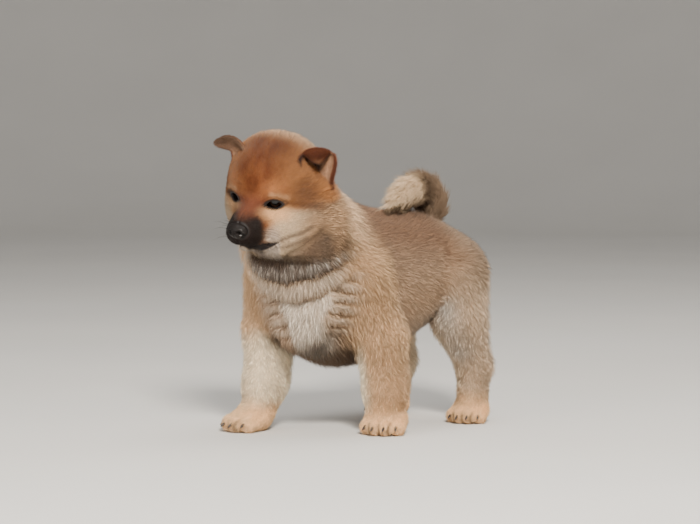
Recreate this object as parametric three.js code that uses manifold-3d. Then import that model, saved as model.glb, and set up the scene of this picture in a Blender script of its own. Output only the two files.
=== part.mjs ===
// A shiba inu puppy of about seven weeks, standing with its right foreleg a step ahead.
// Millimetres, +Z up. It faces -Y, its left side is +X, and its paws stand on z = 0.
import * as THREE from "three";
import { mergeVertices } from "three/addons/utils/BufferGeometryUtils.js";
import Module from "manifold-3d";

const wasm = await Module();
wasm.setup();

const v3 = (x, y, z) => new THREE.Vector3(x, y, z);
const { clamp, degToRad: radians, lerp, smoothstep } = THREE.MathUtils;

// Driving dimensions, in millimetres over the coat and in degrees
const GAP = 0.3;
const WITHERS = 210;
const CHEST_FLOOR = 60;
const CHEST_HALF_WIDTH = 65;
const HEAD_AT = v3(0, -158, 218);
const HEAD_YAW = 16;
const HEAD_PITCH = 12;
const HEAD_ROLL = 9;
const EYE_RADIUS = 9;
const LID_THICKNESS = 1.5;
const EYE_OPENING = { width: 17.5, height: 10.5, slant: 8 };
const NOSE = { width: 20, height: 15, length: 13 };
const EAR_LENGTH = { left: 54, right: 53 };
const EAR_HALF_WIDTH = { left: 18, right: 10 };
const PAW_WIDTH = 40;
const CLAW_LENGTH = 7;
const TAIL_RADIUS = 15;

// Finishes
const colours = {
  sable: 0xa47e62,
  tan: 0xb8987a,
  rust: 0x98643e,
  cream: 0xd8bd9c,
  ear: 0x75492a,
  nose: 0x1f1715,
  eye: 0x150d09,
  claw: 0x2a211e,
};
const roughness = { eye: 0.08, nose: 0.45, claw: 0.4 };
const finishes = {};
for (const [name, color] of Object.entries(colours)) {
  const dullness = roughness[name] ?? 0.92;
  finishes[name] = new THREE.MeshStandardMaterial({ color, roughness: dullness, metalness: 0 });
}

// Fields: functions of x, y, z, negative inside, and about the distance in millimetres outside
function ellipsoid(centre, radii) {
  return (x, y, z) => {
    const px = (x - centre.x) / radii.x;
    const py = (y - centre.y) / radii.y;
    const pz = (z - centre.z) / radii.z;
    const reach = Math.sqrt(px * px + py * py + pz * pz);
    const slope = Math.hypot(px / radii.x, py / radii.y, pz / radii.z);
    return slope < 1e-9 ? -Math.min(radii.x, radii.y, radii.z) : (reach * (reach - 1)) / slope;
  };
}

// Two balls and the cone that wraps them.
function roundCone(a, b, ra, rb) {
  const way = b.clone().sub(a);
  const l2 = way.lengthSq();
  const rr = ra - rb;
  const a2 = l2 - rr * rr;
  return (x, y, z) => {
    const px = x - a.x;
    const py = y - a.y;
    const pz = z - a.z;
    const along = px * way.x + py * way.y + pz * way.z;
    const past = along - l2;
    const qx = px * l2 - way.x * along;
    const qy = py * l2 - way.y * along;
    const qz = pz * l2 - way.z * along;
    const x2 = qx * qx + qy * qy + qz * qz;
    const y2 = along * along * l2;
    const z2 = past * past * l2;
    const k = Math.sign(rr) * rr * rr * x2;
    if (Math.sign(past) * a2 * z2 > k) return Math.sqrt(x2 + z2) / l2 - rb;
    if (Math.sign(along) * a2 * y2 < k) return Math.sqrt(x2 + y2) / l2 - ra;
    return (Math.sqrt((x2 * a2) / l2) + along * rr) / l2 - ra;
  };
}

// Smooth union: fields within `soft` of each other run together.
function blend(soft, ...fields) {
  return (x, y, z) => {
    let d = fields[0](x, y, z);
    for (let i = 1; i < fields.length; i++) {
      const e = fields[i](x, y, z);
      const h = Math.max(soft - Math.abs(d - e), 0) / soft;
      d = Math.min(d, e) - (h * h * soft) / 4;
    }
    return d;
  };
}

// A limb or tail: round cones through a list of [point, radius].
function chain(stops, soft) {
  const link = ([point, radius], i) => roundCone(stops[i][0], point, stops[i][1], radius);
  return blend(soft, ...stops.slice(1).map(link));
}

// A field drawn in the local space of a placed THREE.Object3D.
function placed(frame, field) {
  const m = frame.matrixWorld.clone().invert().elements;
  return (x, y, z) =>
    field(
      m[0] * x + m[4] * y + m[8] * z + m[12],
      m[1] * x + m[5] * y + m[9] * z + m[13],
      m[2] * x + m[6] * y + m[10] * z + m[14],
    );
}

const mirrored = (field, soft = 1) => blend(soft, field, (x, y, z) => field(-x, y, z));

// Oval sections along Y, closed by rounded ends.
function barrel(stations, frontCap, rearCap) {
  const spline = new THREE.CubicInterpolant(
    stations.map((s) => s.y),
    stations.flatMap((s) => [s.half, s.top, s.bottom]),
    3,
  );
  const front = stations[0].y;
  const rear = stations[stations.length - 1].y;
  return (x, y, z) => {
    const [half, top, bottom] = spline.evaluate(clamp(y, front, rear));
    const tall = (top - bottom) / 2;
    const cap = y < front ? frontCap : rearCap;
    const px = x / half;
    const pz = (z - (top + bottom) / 2) / tall;
    const py = (y - clamp(y, front, rear)) / cap;
    const reach = Math.sqrt(px * px + py * py + pz * pz);
    const slope = Math.hypot(px / half, py / cap, pz / tall);
    return slope < 1e-6 ? -Math.min(half, tall) : (reach * (reach - 1)) / slope;
  };
}

function slopeOf(field, p, h = 0.2) {
  return v3(
    field(p.x + h, p.y, p.z) - field(p.x - h, p.y, p.z),
    field(p.x, p.y + h, p.z) - field(p.x, p.y - h, p.z),
    field(p.x, p.y, p.z + h) - field(p.x, p.y, p.z - h),
  ).divideScalar(2 * h);
}

// Solids
function solidFrom(vertices, triangles) {
  return new wasm.Manifold(
    new wasm.Mesh({
      numProp: 3,
      vertProperties: new Float32Array(vertices),
      triVerts: new Uint32Array(triangles),
    }),
  );
}

// A three.js geometry as a solid, moved by a matrix.
function solidOfGeometry(geometry, matrix = new THREE.Matrix4()) {
  const bare = geometry.clone().applyMatrix4(matrix);
  bare.deleteAttribute("normal");
  bare.deleteAttribute("uv");
  const merged = mergeVertices(bare, 1e-4);
  return solidFrom(merged.attributes.position.array, merged.index.array);
}

const CORNERS = [0, 1, 2, 3, 4, 5, 6, 7].map((c) => [c & 1, (c >> 1) & 1, (c >> 2) & 1]);
const EDGES = CORNERS.flatMap((_, c) => [1, 2, 4].filter((bit) => !(c & bit)).map((bit) => [c, c | bit]));
const AXES = [[1, 0, 0], [0, 1, 0], [0, 0, 1]];

// The zero surface of a field inside a box: one vertex for each grid cell that the surface
// crosses, drawn onto the surface, and a quad round each grid edge that it cuts.
function solidOfField(field, low, high, step, grow = 0) {
  const count = low.map((l, n) => Math.ceil((high[n] - l) / step[n]) + 4);
  const at = (n, k) => low[n] + (k - 1.5) * step[n];
  const boxed = (x, y, z) =>
    Math.max(
      field(x, y, z) - grow,
      low[0] - grow - x, x - grow - high[0],
      low[1] - grow - y, y - grow - high[1],
      low[2] - grow - z, z - grow - high[2],
    );
  const value = new Float32Array(count[0] * count[1] * count[2]);
  const index = (i, j, k) => i + count[0] * (j + count[1] * k);
  const eachCell = (first, last, visit) => {
    for (let k = first; k < count[2] - last; k++)
      for (let j = first; j < count[1] - last; j++)
        for (let i = first; i < count[0] - last; i++) visit([i, j, k]);
  };
  eachCell(0, 0, (cell) => {
    value[index(...cell)] = boxed(...cell.map((c, n) => at(n, c))) || 1e-6;
  });

  const points = [];
  const cellVertex = new Map();
  const reach = Math.min(...step) * 0.5;
  eachCell(0, 1, ([i, j, k]) => {
    const f = CORNERS.map(([a, b, c]) => value[index(i + a, j + b, k + c)]);
    const sum = [0, 0, 0];
    let crossings = 0;
    for (const [a, b] of EDGES) {
      if (f[a] > 0 === f[b] > 0) continue;
      const t = f[a] / (f[a] - f[b]);
      for (let n = 0; n < 3; n++) sum[n] += CORNERS[a][n] + t * (CORNERS[b][n] - CORNERS[a][n]);
      crossings++;
    }
    if (!crossings) return;
    const start = v3(...[i, j, k].map((cell, n) => at(n, cell) + (sum[n] / crossings) * step[n]));
    cellVertex.set(index(i, j, k), points.length);
    points.push(ontoSurface(boxed, start, reach));
  });

  const faces = [];
  eachCell(1, 1, (cell) => {
    for (let n = 0; n < 3; n++) {
      const here = value[index(...cell)];
      const next = value[index(...cell.map((c, m) => c + AXES[n][m]))];
      if (here > 0 === next > 0) continue;
      const u = AXES[(n + 1) % 3];
      const w = AXES[(n + 2) % 3];
      const ring = [[0, 0], [1, 0], [1, 1], [0, 1]].map(([a, b]) =>
        cellVertex.get(index(...cell.map((c, m) => c - a * u[m] - b * w[m]))),
      );
      if (here > 0) ring.reverse();
      const [p, q, r, s] = ring.map((id) => points[id]);
      const order = p.distanceTo(r) < q.distanceTo(s) ? [0, 1, 2, 0, 2, 3] : [0, 1, 3, 1, 2, 3];
      faces.push(...order.map((o) => ring[o]));
    }
  });
  return solidFrom(points.flatMap((p) => p.toArray()), faces);
}

// Moves a point along the field's slope until it lies on the surface, at most `reach` away.
function ontoSurface(field, start, reach) {
  const p = start.clone();
  for (let turn = 0; turn < 3; turn++) {
    const g = slopeOf(field, p);
    p.addScaledVector(g, -field(p.x, p.y, p.z) / Math.max(g.lengthSq(), 0.05));
    p.clamp(start.clone().subScalar(reach), start.clone().addScalar(reach));
  }
  return p;
}

// Only the largest closed surface of a solid.
function largest(solid) {
  return solid.decompose().reduce((best, body) => (body.volume() > best.volume() ? body : best));
}

// Head, in its own frame: the eyes at its origin's height, the nose towards -Y
const head = new THREE.Object3D();
head.position.copy(HEAD_AT);
head.rotation.set(radians(HEAD_PITCH), radians(HEAD_ROLL), radians(HEAD_YAW), "ZXY");
head.updateMatrixWorld(true);
const headPoint = (x, y, z) => v3(x, y, z).applyMatrix4(head.matrixWorld);
const headWay = (x, y, z) => v3(x, y, z).transformDirection(head.matrixWorld);

const EYE_AT = v3(15.5, 3.6, 0);
const EYE_LOOKS = v3(0.46, -0.88, 0.05);
const MOUTH_FRONT = v3(0, -38, -37);
const MOUTH_CORNER = v3(24, -9, -31.5);
const NOSE_AT = v3(0, -36, -21.5);
const skull = blend(
  14,
  mirrored(ellipsoid(v3(11, 31, 9), v3(32, 40, 39)), 24),
  mirrored(ellipsoid(v3(24, 29, -17), v3(21, 30, 27))),
  mirrored(ellipsoid(v3(13, 5, 9), v3(12, 11, 11)), 6),
  ellipsoid(v3(44, 33, 3), v3(14, 13, 13)),
);
const muzzle = blend(
  6,
  roundCone(v3(0, 10, -15), v3(0, -23, -23), 24, 15.5),
  mirrored(ellipsoid(v3(9, -18, -27.5), v3(9, 16, 9.5)), 2),
);
const jaw = blend(
  8,
  roundCone(v3(0, 18, -36), v3(0, -19, -36.5), 14, 9),
  mirrored(ellipsoid(v3(17, 10, -33), v3(14, 22, 14)), 6),
);
const headField = placed(head, blend(2.5, blend(10, skull, muzzle), jaw));

// Trunk, neck and legs
const trunk = barrel(
  [
    { y: -100, half: 53, top: 182, bottom: 72 },
    { y: -72, half: 63, top: 205, bottom: CHEST_FLOOR + 1 },
    { y: -40, half: CHEST_HALF_WIDTH, top: WITHERS, bottom: CHEST_FLOOR },
    { y: 0, half: 61, top: 206, bottom: 71 },
    { y: 35, half: 55, top: 202, bottom: 86 },
    { y: 65, half: 52, top: 196, bottom: 96 },
    { y: 90, half: 46, top: 184, bottom: 106 },
  ],
  34,
  22,
);
const neck = chain(
  [
    [v3(0, -72, 152), 58],
    [v3(-2, -102, 176), 54],
    [v3(-1, -120, 200), 46],
  ],
  20,
);

// The joints of each leg from the trunk down, with the radius over the coat, and where its paw
// stands and which way the paw turns.
const legs = {
  fore_left: {
    joints: [[v3(41, -72, 140), 36], [v3(51, -55, 90), 24.5], [v3(52, -48, 42), 20], [v3(54, -50, 20), 17]],
    paw: v3(57, -53, 0),
    turn: 26,
  },
  fore_right: {
    joints: [
      [v3(-42, -92, 140), 36],
      [v3(-54, -95, 92), 25],
      [v3(-50, -104, 44), 20],
      [v3(-49, -113, 21), 16],
    ],
    paw: v3(-50, -127, 0),
    turn: -6,
  },
  hind_left: {
    joints: [[v3(30, 65, 142), 39], [v3(42, 63, 98), 26], [v3(47, 79, 52), 16], [v3(50, 74, 24), 14.5]],
    paw: v3(53, 66, 0),
    turn: 22,
  },
  hind_right: {
    joints: [[v3(-30, 63, 142), 39], [v3(-43, 52, 98), 26], [v3(-43, 68, 52), 16], [v3(-43, 62, 24), 14.5]],
    paw: v3(-43, 54, 0),
    turn: -14,
  },
};

const TOES = [
  { side: -13.6, ahead: -9, turn: 12 },
  { side: -4.9, ahead: -15.5, turn: 3 },
  { side: 4.9, ahead: -15.5, turn: -3 },
  { side: 13.6, ahead: -9, turn: -12 },
];
for (const [name, leg] of Object.entries(legs)) {
  const frame = new THREE.Object3D();
  frame.position.copy(leg.paw);
  frame.rotation.z = radians(leg.turn);
  frame.scale.setScalar(name.startsWith("fore") ? PAW_WIDTH / 40 : PAW_WIDTH / 43);
  frame.updateMatrixWorld(true);
  leg.frame = frame;
  const toes = TOES.map(({ side, ahead }) =>
    roundCone(v3(side * 0.7, ahead + 15, 12.5), v3(side, ahead, 6.9), 9, 7.5),
  );
  const palm = ellipsoid(v3(0, 6, 11), v3(16.5, 17, 14));
  leg.field = blend(7, chain(leg.joints, 9), placed(frame, blend(4, palm, blend(1.2, ...toes))));
}
const bodyField = blend(12, blend(24, trunk, neck), ...Object.values(legs).map((leg) => leg.field));
const coat = blend(6, bodyField, headField);

// Tail: up from the croup, then forward over the back, a little to the left
const tailLine = new THREE.CatmullRomCurve3([
  v3(0, 66, 186),
  v3(0, 68, 206),
  v3(2, 54, 221),
  v3(6, 30, 219),
  v3(15, 6, 213),
  v3(23, -15, 207),
]);
const tailStops = Array.from({ length: 10 }, (_, i) => {
  const t = i / 9;
  const fullness = 0.5 * Math.sin(Math.PI * Math.min(t * 1.15, 1));
  return [tailLine.getPoint(t), TAIL_RADIUS * (0.82 + fullness - 0.32 * t)];
});
const tail = chain(tailStops, 6);

// Parting the coat into nodes: a plane is [point, normal], a region what lies where its normals point
const flipped = ([point, normal]) => [point, normal.clone().negate()];
const above = (z) => [v3(0, 0, z), v3(0, 0, 1)];
const ahead = (y) => [v3(0, y, 0), v3(0, -1, 0)];
const neckPlane = [v3(0, -60, 212), v3(0, -0.69, 0.72)];
const loinFront = ahead(-22);
const loinRear = ahead(42);
const THROAT = -47;
const regions = {
  head: [
    [headPoint(0, 50, 0), headWay(0, -0.8, 0.6)],
    [headPoint(0, 0, THROAT), headWay(0, 0, 1)],
  ],
};
const legReach = {
  fore_left: { inner: 16, front: -125, rear: -14, armpit: 72, rise: 0.79 },
  fore_right: { inner: -16, front: -185, rear: -52, armpit: 72, rise: 0.79 },
  hind_left: { inner: 8, front: 24, rear: 140, armpit: 92, rise: 1.02 },
  hind_right: { inner: -8, front: 14, rear: 140, armpit: 92, rise: 1.02 },
};
for (const [leg, { inner, front, rear, armpit, rise }] of Object.entries(legReach)) {
  const side = Math.sign(inner);
  const edge = v3(inner, 0, armpit);
  const inwards = [edge, v3(side, 0, 0)];
  const shoulder = [edge, v3(side * rise, 0, -1)];
  regions[leg] = [inwards, shoulder, flipped(ahead(front)), ahead(rear)];
}

const WORLD = solidOfGeometry(new THREE.BoxGeometry(900, 900, 900));
function region(name, grow) {
  return regions[name].reduce((solid, [point, normal]) => {
    const n = normal.clone().normalize();
    return solid.trimByPlane(n.toArray(), n.dot(point) - grow);
  }, WORLD);
}

// One node's share of the coat. `grow` gives the same piece with all its faces moved out.
function share({ box, step, keep = [], inside, outside = [] }, grow = 0) {
  let piece = solidOfField(coat, box[0], box[1], step, grow);
  for (const [point, normal] of keep) {
    const n = normal.clone().normalize();
    piece = piece.trimByPlane(n.toArray(), n.dot(point) + GAP / 2 - grow);
  }
  if (inside) piece = piece.intersect(region(inside, grow - GAP / 2));
  for (const name of outside) piece = piece.subtract(region(name, GAP / 2 - grow));
  return piece;
}

const allLegs = Object.keys(legReach);
const TRUNK_STEP = [14, 15, 14];
const parts = {
  head: { box: [[-75, -225, 130], [80, -70, 295]], step: [7.1, 7.1, 7.1], inside: "head", finish: "rust" },
  neck: {
    box: [[-80, -185, 100], [80, -30, 270]],
    step: [12, 12, 12],
    keep: [neckPlane],
    outside: ["head"],
    finish: "tan",
  },
  chest: {
    box: [[-90, -160, 40], [90, -10, 240]],
    step: TRUNK_STEP,
    keep: [flipped(neckPlane), loinFront],
    outside: allLegs,
    finish: "sable",
  },
  loin: {
    box: [[-90, -35, 40], [90, 55, 240]],
    step: TRUNK_STEP,
    keep: [flipped(loinFront), loinRear],
    outside: allLegs,
    finish: "sable",
  },
  rump: {
    box: [[-90, 30, 40], [90, 130, 240]],
    step: TRUNK_STEP,
    keep: [flipped(loinRear)],
    outside: allLegs,
    finish: "sable",
  },
};
const legBoxes = {
  fore_left: [[0, -125, -3], [100, -5, 150]],
  fore_right: [[-100, -175, -3], [0, -40, 150]],
  hind_left: [[0, 5, -3], [100, 130, 200]],
  hind_right: [[-100, 5, -3], [0, 130, 200]],
};
const cuts = {
  fore: [
    ["upper_arm", 86, [11, 11, 11]],
    ["forearm", 29, [9, 9, 14]],
    ["paw", 0, [5.8, 5.8, 5.2]],
  ],
  hind: [
    ["thigh", 92, [12, 12, 12]],
    ["shank", 52, [8.5, 8.5, 11]],
    ["hock", 26, [7, 7, 9]],
    ["paw", 0, [5.8, 5.8, 5.2]],
  ],
};
for (const leg of allLegs) {
  const stack = cuts[leg.slice(0, 4)];
  stack.forEach(([piece, floor, step], i) => {
    const [low, high] = legBoxes[leg];
    const ceiling = i ? stack[i - 1][1] : high[2];
    const keep = i ? [above(floor), flipped(above(ceiling))] : [above(floor)];
    if (piece === "paw") keep[0] = above(-GAP / 2);
    parts[`${leg}_${piece}`] = {
      box: [
        [low[0], low[1], floor - 2 * step[2]],
        [high[0], high[1], Math.min(ceiling + 2 * step[2], high[2])],
      ],
      step,
      keep,
      inside: leg,
      finish: i === stack.length - 1 ? "cream" : "tan",
    };
  });
}

// Locks of the longer coat: flat, tapered and bent, each rooted inside the coat and following it,
// with its tip `rise` above it
const LOCKS = {
  ruff: { length: 44, width: 31, thickness: 6.5, rise: 6 },
  cheek: { length: 25, width: 20, thickness: 6, rise: 4.5 },
  bib: { length: 38, width: 25, thickness: 6, rise: 5.5 },
  breech: { length: 38, width: 24, thickness: 6, rise: 6 },
  feather: { length: 28, width: 14, thickness: 5, rise: 5.5 },
  plume: { length: 32, width: 19, thickness: 6, rise: 5.5 },
};
const LOCK_SUNK = 5;
const LOCK_STOPS = [
  { at: 0, wide: 0.7, thick: 1 },
  { at: 0.36, wide: 1, thick: 0.9 },
  { at: 0.72, wide: 0.66, thick: 0.6 },
];
let seed = 11;
function random(low, high) {
  seed = (seed * 1664525 + 1013904223) % 4294967296;
  return lerp(low, high, seed / 4294967296);
}

function lockSolid({ field, root, lie, length, width, thickness, rise }, grown = false) {
  const wider = grown ? 1.2 : 0;
  const thicker = grown ? 0.6 : 0;
  const foot = root.clone();
  const along = lie.clone();
  const vertices = [];
  const triangles = [[0, 1, 2], [0, 2, 3]];
  LOCK_STOPS.forEach(({ at, wide, thick }, i) => {
    const out = slopeOf(field, foot, 2).normalize();
    along.addScaledVector(out, -along.dot(out)).normalize();
    const side = v3(0, 0, 0).crossVectors(along, out);
    const spine = foot.clone().addScaledVector(out, lerp(-LOCK_SUNK, rise, Math.pow(at, 0.42)));
    const w = (width / 2) * wide + wider;
    const t = (thickness / 2) * thick + thicker;
    for (const [across, high] of [[w, -0.3 * t], [0, t], [-w, -0.3 * t], [0, -t]]) {
      vertices.push(spine.clone().addScaledVector(side, across).addScaledVector(out, high));
    }
    const last = i === LOCK_STOPS.length - 1;
    const stretch = last ? length * (1 - at) + (grown ? 4 : 0) : length * (LOCK_STOPS[i + 1].at - at);
    foot.copy(ontoSurface(field, foot.clone().addScaledVector(along, stretch), 14));
    for (let j = 0; j < 4; j++) {
      const a = i * 4 + j;
      const b = i * 4 + ((j + 1) % 4);
      if (last) triangles.push([a, LOCK_STOPS.length * 4, b]);
      else triangles.push([a, a + 4, b + 4], [a, b + 4, b]);
    }
  });
  vertices.push(foot.addScaledVector(slopeOf(field, foot, 2).normalize(), rise));
  return solidFrom(vertices.flatMap((p) => p.toArray()), triangles.flat());
}

// Where a way out from a point inside leaves the surface
function leaving(field, from, way) {
  const root = from.clone();
  const toward = way.clone().normalize();
  for (let turn = 0; turn < 120; turn++) {
    const depth = -field(root.x, root.y, root.z);
    if (depth < 0.1) break;
    root.addScaledVector(toward, clamp(depth * 0.5, 0.3, 8));
  }
  return root;
}

const locks = {};
function plant(node, size, root, lie, field = coat) {
  const spread = v3(random(-1, 1), random(-1, 1), random(-1, 1)).multiplyScalar(0.15);
  const { length, width, thickness, rise } = LOCKS[size];
  locks[node] ??= [];
  locks[node].push({
    field,
    root,
    lie: lie.clone().normalize().add(spread),
    length: length * random(0.86, 1.14),
    width: width * random(0.88, 1.12),
    thickness,
    rise: rise + random(-1.2, 1.2),
  });
}

// Signed distance of a point inside a region of planes
function depthIn(planes, p) {
  return Math.min(...planes.map(([point, normal]) => p.clone().sub(point).dot(normal) / normal.length()));
}

// Ruff: tiers round the neck, from the head back to the shoulders
const neckWay = neckPlane[1].clone().normalize();
const neckCentre = v3(0, -96, 177);
const TIERS = [
  { node: "neck", ahead: 36, count: 11, turned: 0 },
  { node: "neck", ahead: 15, count: 12, turned: 0.5 },
  { node: "chest", ahead: -9, count: 12, turned: 0 },
];
for (const { node, ahead: along, count, turned } of TIERS) {
  for (let i = 0; i < count; i++) {
    const angle = (2 * Math.PI * (i + turned + random(-0.12, 0.12))) / count;
    const way = v3(Math.cos(angle), neckWay.z * Math.sin(angle), -neckWay.y * Math.sin(angle));
    const root = leaving(coat, neckCentre.clone().addScaledVector(neckWay, along + random(-3, 3)), way);
    const clear = node === "neck" ? depthIn(regions.head, root) < -7 : Math.sin(angle) > -0.25;
    if (clear) plant(node, "ruff", root, v3(0, 0.75, -0.8));
  }
}

// Bib on the chest, between the forelegs and above them
for (const [x, z] of [[-22, 119], [0, 122], [22, 118], [-11, 99], [11, 100]]) {
  plant("chest", "bib", leaving(coat, v3(x * 0.7, -96, z), v3(x * 0.012, -1, 0)), v3(x * 0.004, 0.15, -1));
}

// Cheeks: a row along the back of each side of the head, from below the ear to the throat
const cheekWay = headWay(0, -0.8, 0.6);
const cheekCentre = headPoint(0, 23, -12);
for (const side of [-1, 1]) {
  for (const angle of [14, -8, -30, -50]) {
    const across = headWay(side, 0, 0).multiplyScalar(Math.cos(radians(angle)));
    const way = across.add(headWay(0, 0.6, 0.8).multiplyScalar(Math.sin(radians(angle))));
    plant("head", "cheek", leaving(coat, cheekCentre, way), cheekWay.clone().negate());
  }
}

// Breeches behind the thighs, and feathering behind the forearms
for (const side of [-1, 1]) {
  const thigh = side > 0 ? "hind_left_thigh" : "hind_right_thigh";
  for (const [x, z] of [[0.15, 156], [0.6, 143], [0.1, 131], [0.4, 112]]) {
    plant(thigh, "breech", leaving(coat, v3(side * 30, 62, z), v3(side * x, 0.9, 0)), v3(0, 0.3, -1));
  }
  const forearm = side > 0 ? "fore_left" : "fore_right";
  const [elbow, wrist] = legs[forearm].joints.slice(1).map(([point]) => point);
  for (const [t, x] of [[0.1, 0.3], [0.45, -0.15]]) {
    const root = leaving(coat, elbow.clone().lerp(wrist, t), v3(side * x, 1, 0));
    plant(`${forearm}_forearm`, "feather", root, v3(0, 0.3, -1));
  }
}

// Plume of the tail
const TAIL_CUTS = [58, 20];
const TAIL_NODES = ["tail_base", "tail_curl", "tail_tip"];
const TAIL_STATIONS = 6;
for (let i = 0; i < TAIL_STATIONS; i++) {
  const t = lerp(0.1, 0.97, i / (TAIL_STATIONS - 1));
  const centre = tailLine.getPoint(t);
  const tangent = tailLine.getTangent(t);
  const across = v3(0, 0, 0).crossVectors(tangent, v3(1, 0, 0)).normalize();
  const other = v3(0, 0, 0).crossVectors(tangent, across);
  for (let j = 0; j < 3; j++) {
    const angle = (2 * Math.PI * (j + (i % 2) / 2 + random(-0.08, 0.08))) / 3;
    const way = across.clone().multiplyScalar(Math.cos(angle)).addScaledVector(other, Math.sin(angle));
    const root = leaving(tail, centre, way);
    const tip = root.clone().addScaledVector(way, 9).addScaledVector(tangent, 20);
    if (coat(tip.x, tip.y, tip.z) < 3) continue;
    plant(TAIL_NODES[TAIL_CUTS.filter((y) => root.y < y).length], "plume", root, tangent, tail);
  }
}

// Nodes
const dog = new THREE.Group();
function add(name, solid, finish) {
  const mesh = largest(solid).getMesh();
  const places = new Float32Array(mesh.numVert * 3);
  for (let i = 0; i < mesh.numVert; i++) {
    places.set(mesh.vertProperties.subarray(i * mesh.numProp, i * mesh.numProp + 3), i * 3);
  }
  const geometry = new THREE.BufferGeometry();
  geometry.setAttribute("position", new THREE.BufferAttribute(places, 3));
  geometry.setIndex(new THREE.BufferAttribute(new Uint32Array(mesh.triVerts), 1));
  const object = new THREE.Mesh(geometry, finishes[finish]);
  object.name = name;
  dog.add(object);
}

// Eyes: a ball in each socket, behind lids that open in an almond
const openings = [];
const sockets = [];
const lidBalls = [];
for (const [name, side] of [["left", 1], ["right", -1]]) {
  const centre = v3(side * EYE_AT.x, EYE_AT.y, EYE_AT.z);
  const ball = (radius) =>
    solidOfGeometry(
      new THREE.SphereGeometry(radius, 12, 8),
      head.matrixWorld.clone().multiply(new THREE.Matrix4().setPosition(centre)),
    );
  const almond = new THREE.Shape();
  const { width, height } = EYE_OPENING;
  almond.moveTo(-width / 2, 0);
  almond.bezierCurveTo(-width / 5, -height * 0.6, width / 5, -height * 0.6, width / 2, 0);
  almond.bezierCurveTo(width / 5, height * 0.72, -width / 5, height * 0.72, -width / 2, 0);
  const opening = new THREE.ExtrudeGeometry(almond, { depth: 16, bevelEnabled: false, curveSegments: 6 });
  const gaze = v3(side * EYE_LOOKS.x, EYE_LOOKS.y, EYE_LOOKS.z).normalize();
  const aim = new THREE.Object3D();
  aim.position.copy(centre);
  aim.up.set(Math.sin(radians(EYE_OPENING.slant)) * -side, 0, 1);
  aim.lookAt(centre.clone().add(gaze));
  aim.updateMatrix();
  openings.push(solidOfGeometry(opening, head.matrixWorld.clone().multiply(aim.matrix)));
  sockets.push(ball(EYE_RADIUS + GAP));
  lidBalls.push(ball(EYE_RADIUS + LID_THICKNESS));
  add(`eye_${name}`, ball(EYE_RADIUS), "eye");
}

// The mouth parts the lower jaw from the muzzle, from lip to lip.
function mouthBlock(grow) {
  const block = new THREE.BoxGeometry(1, 1, 1);
  const place = block.attributes.position;
  const slope = (MOUTH_CORNER.z - MOUTH_FRONT.z) / (MOUTH_CORNER.y - MOUTH_FRONT.y);
  for (let i = 0; i < place.count; i++) {
    const side = Math.sign(place.getX(i)) * (MOUTH_CORNER.x + grow);
    const y = place.getY(i) > 0 ? MOUTH_CORNER.y + grow : MOUTH_FRONT.y - 30;
    const lips = MOUTH_FRONT.z + slope * (y - MOUTH_FRONT.y) + grow;
    place.setXYZ(i, side, y, place.getZ(i) > 0 ? lips : -80);
  }
  return solidOfGeometry(block, head.matrixWorld);
}

const grownShares = {};
function clearOf(nodes, solid) {
  return nodes.reduce((rest, node) => {
    grownShares[node] ??= share(parts[node], GAP + 0.6);
    return rest.subtract(grownShares[node]);
  }, solid);
}

// A node's locks joined, clear of its neighbours and of the locks planted before it.
let planted = null;
function lockSet(node, neighbours) {
  let set = locks[node].map((lock) => lockSolid(lock)).reduce((all, lock) => all.add(lock));
  if (planted) set = set.subtract(planted);
  for (const lock of locks[node]) {
    const grown = lockSolid(lock, true);
    planted = planted ? planted.add(grown) : grown;
  }
  return clearOf(neighbours, set);
}

let skullSolid = share(parts.head).add(lockSet("head", ["neck", "chest"]));
const headGrown = share(parts.head, GAP + 0.05);
for (const ball of lidBalls) skullSolid = skullSolid.add(ball);
for (const hole of [...openings, ...sockets]) skullSolid = skullSolid.subtract(hole);
add("head", skullSolid.subtract(mouthBlock(GAP / 2)), parts.head.finish);
const jawShare = { box: [[-45, -225, 150], [55, -130, 225]], step: [4.6, 4.6, 4.6], inside: "head" };
add("lower_jaw", share(jawShare).intersect(mouthBlock(-GAP / 2)), "cream");

// Nose leather with its two nostrils
function noseSolid() {
  const place = (x, y, z) => head.matrixWorld.clone().multiply(new THREE.Matrix4().setPosition(x, y, z));
  const leather = new THREE.SphereGeometry(0.5, 12, 8).scale(NOSE.width, NOSE.length, NOSE.height);
  let solid = solidOfGeometry(leather, place(NOSE_AT.x, NOSE_AT.y, NOSE_AT.z));
  for (const side of [-1, 1]) {
    const nostril = new THREE.SphereGeometry(1, 8, 6).scale(2.1, 4, 2.6);
    const at = NOSE_AT.clone().add(v3(side * NOSE.width * 0.24, -NOSE.length * 0.47, -1));
    solid = solid.subtract(solidOfGeometry(nostril, place(at.x, at.y, at.z)));
  }
  return solid;
}
add("nose_leather", noseSolid().subtract(headGrown), "nose");

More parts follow.
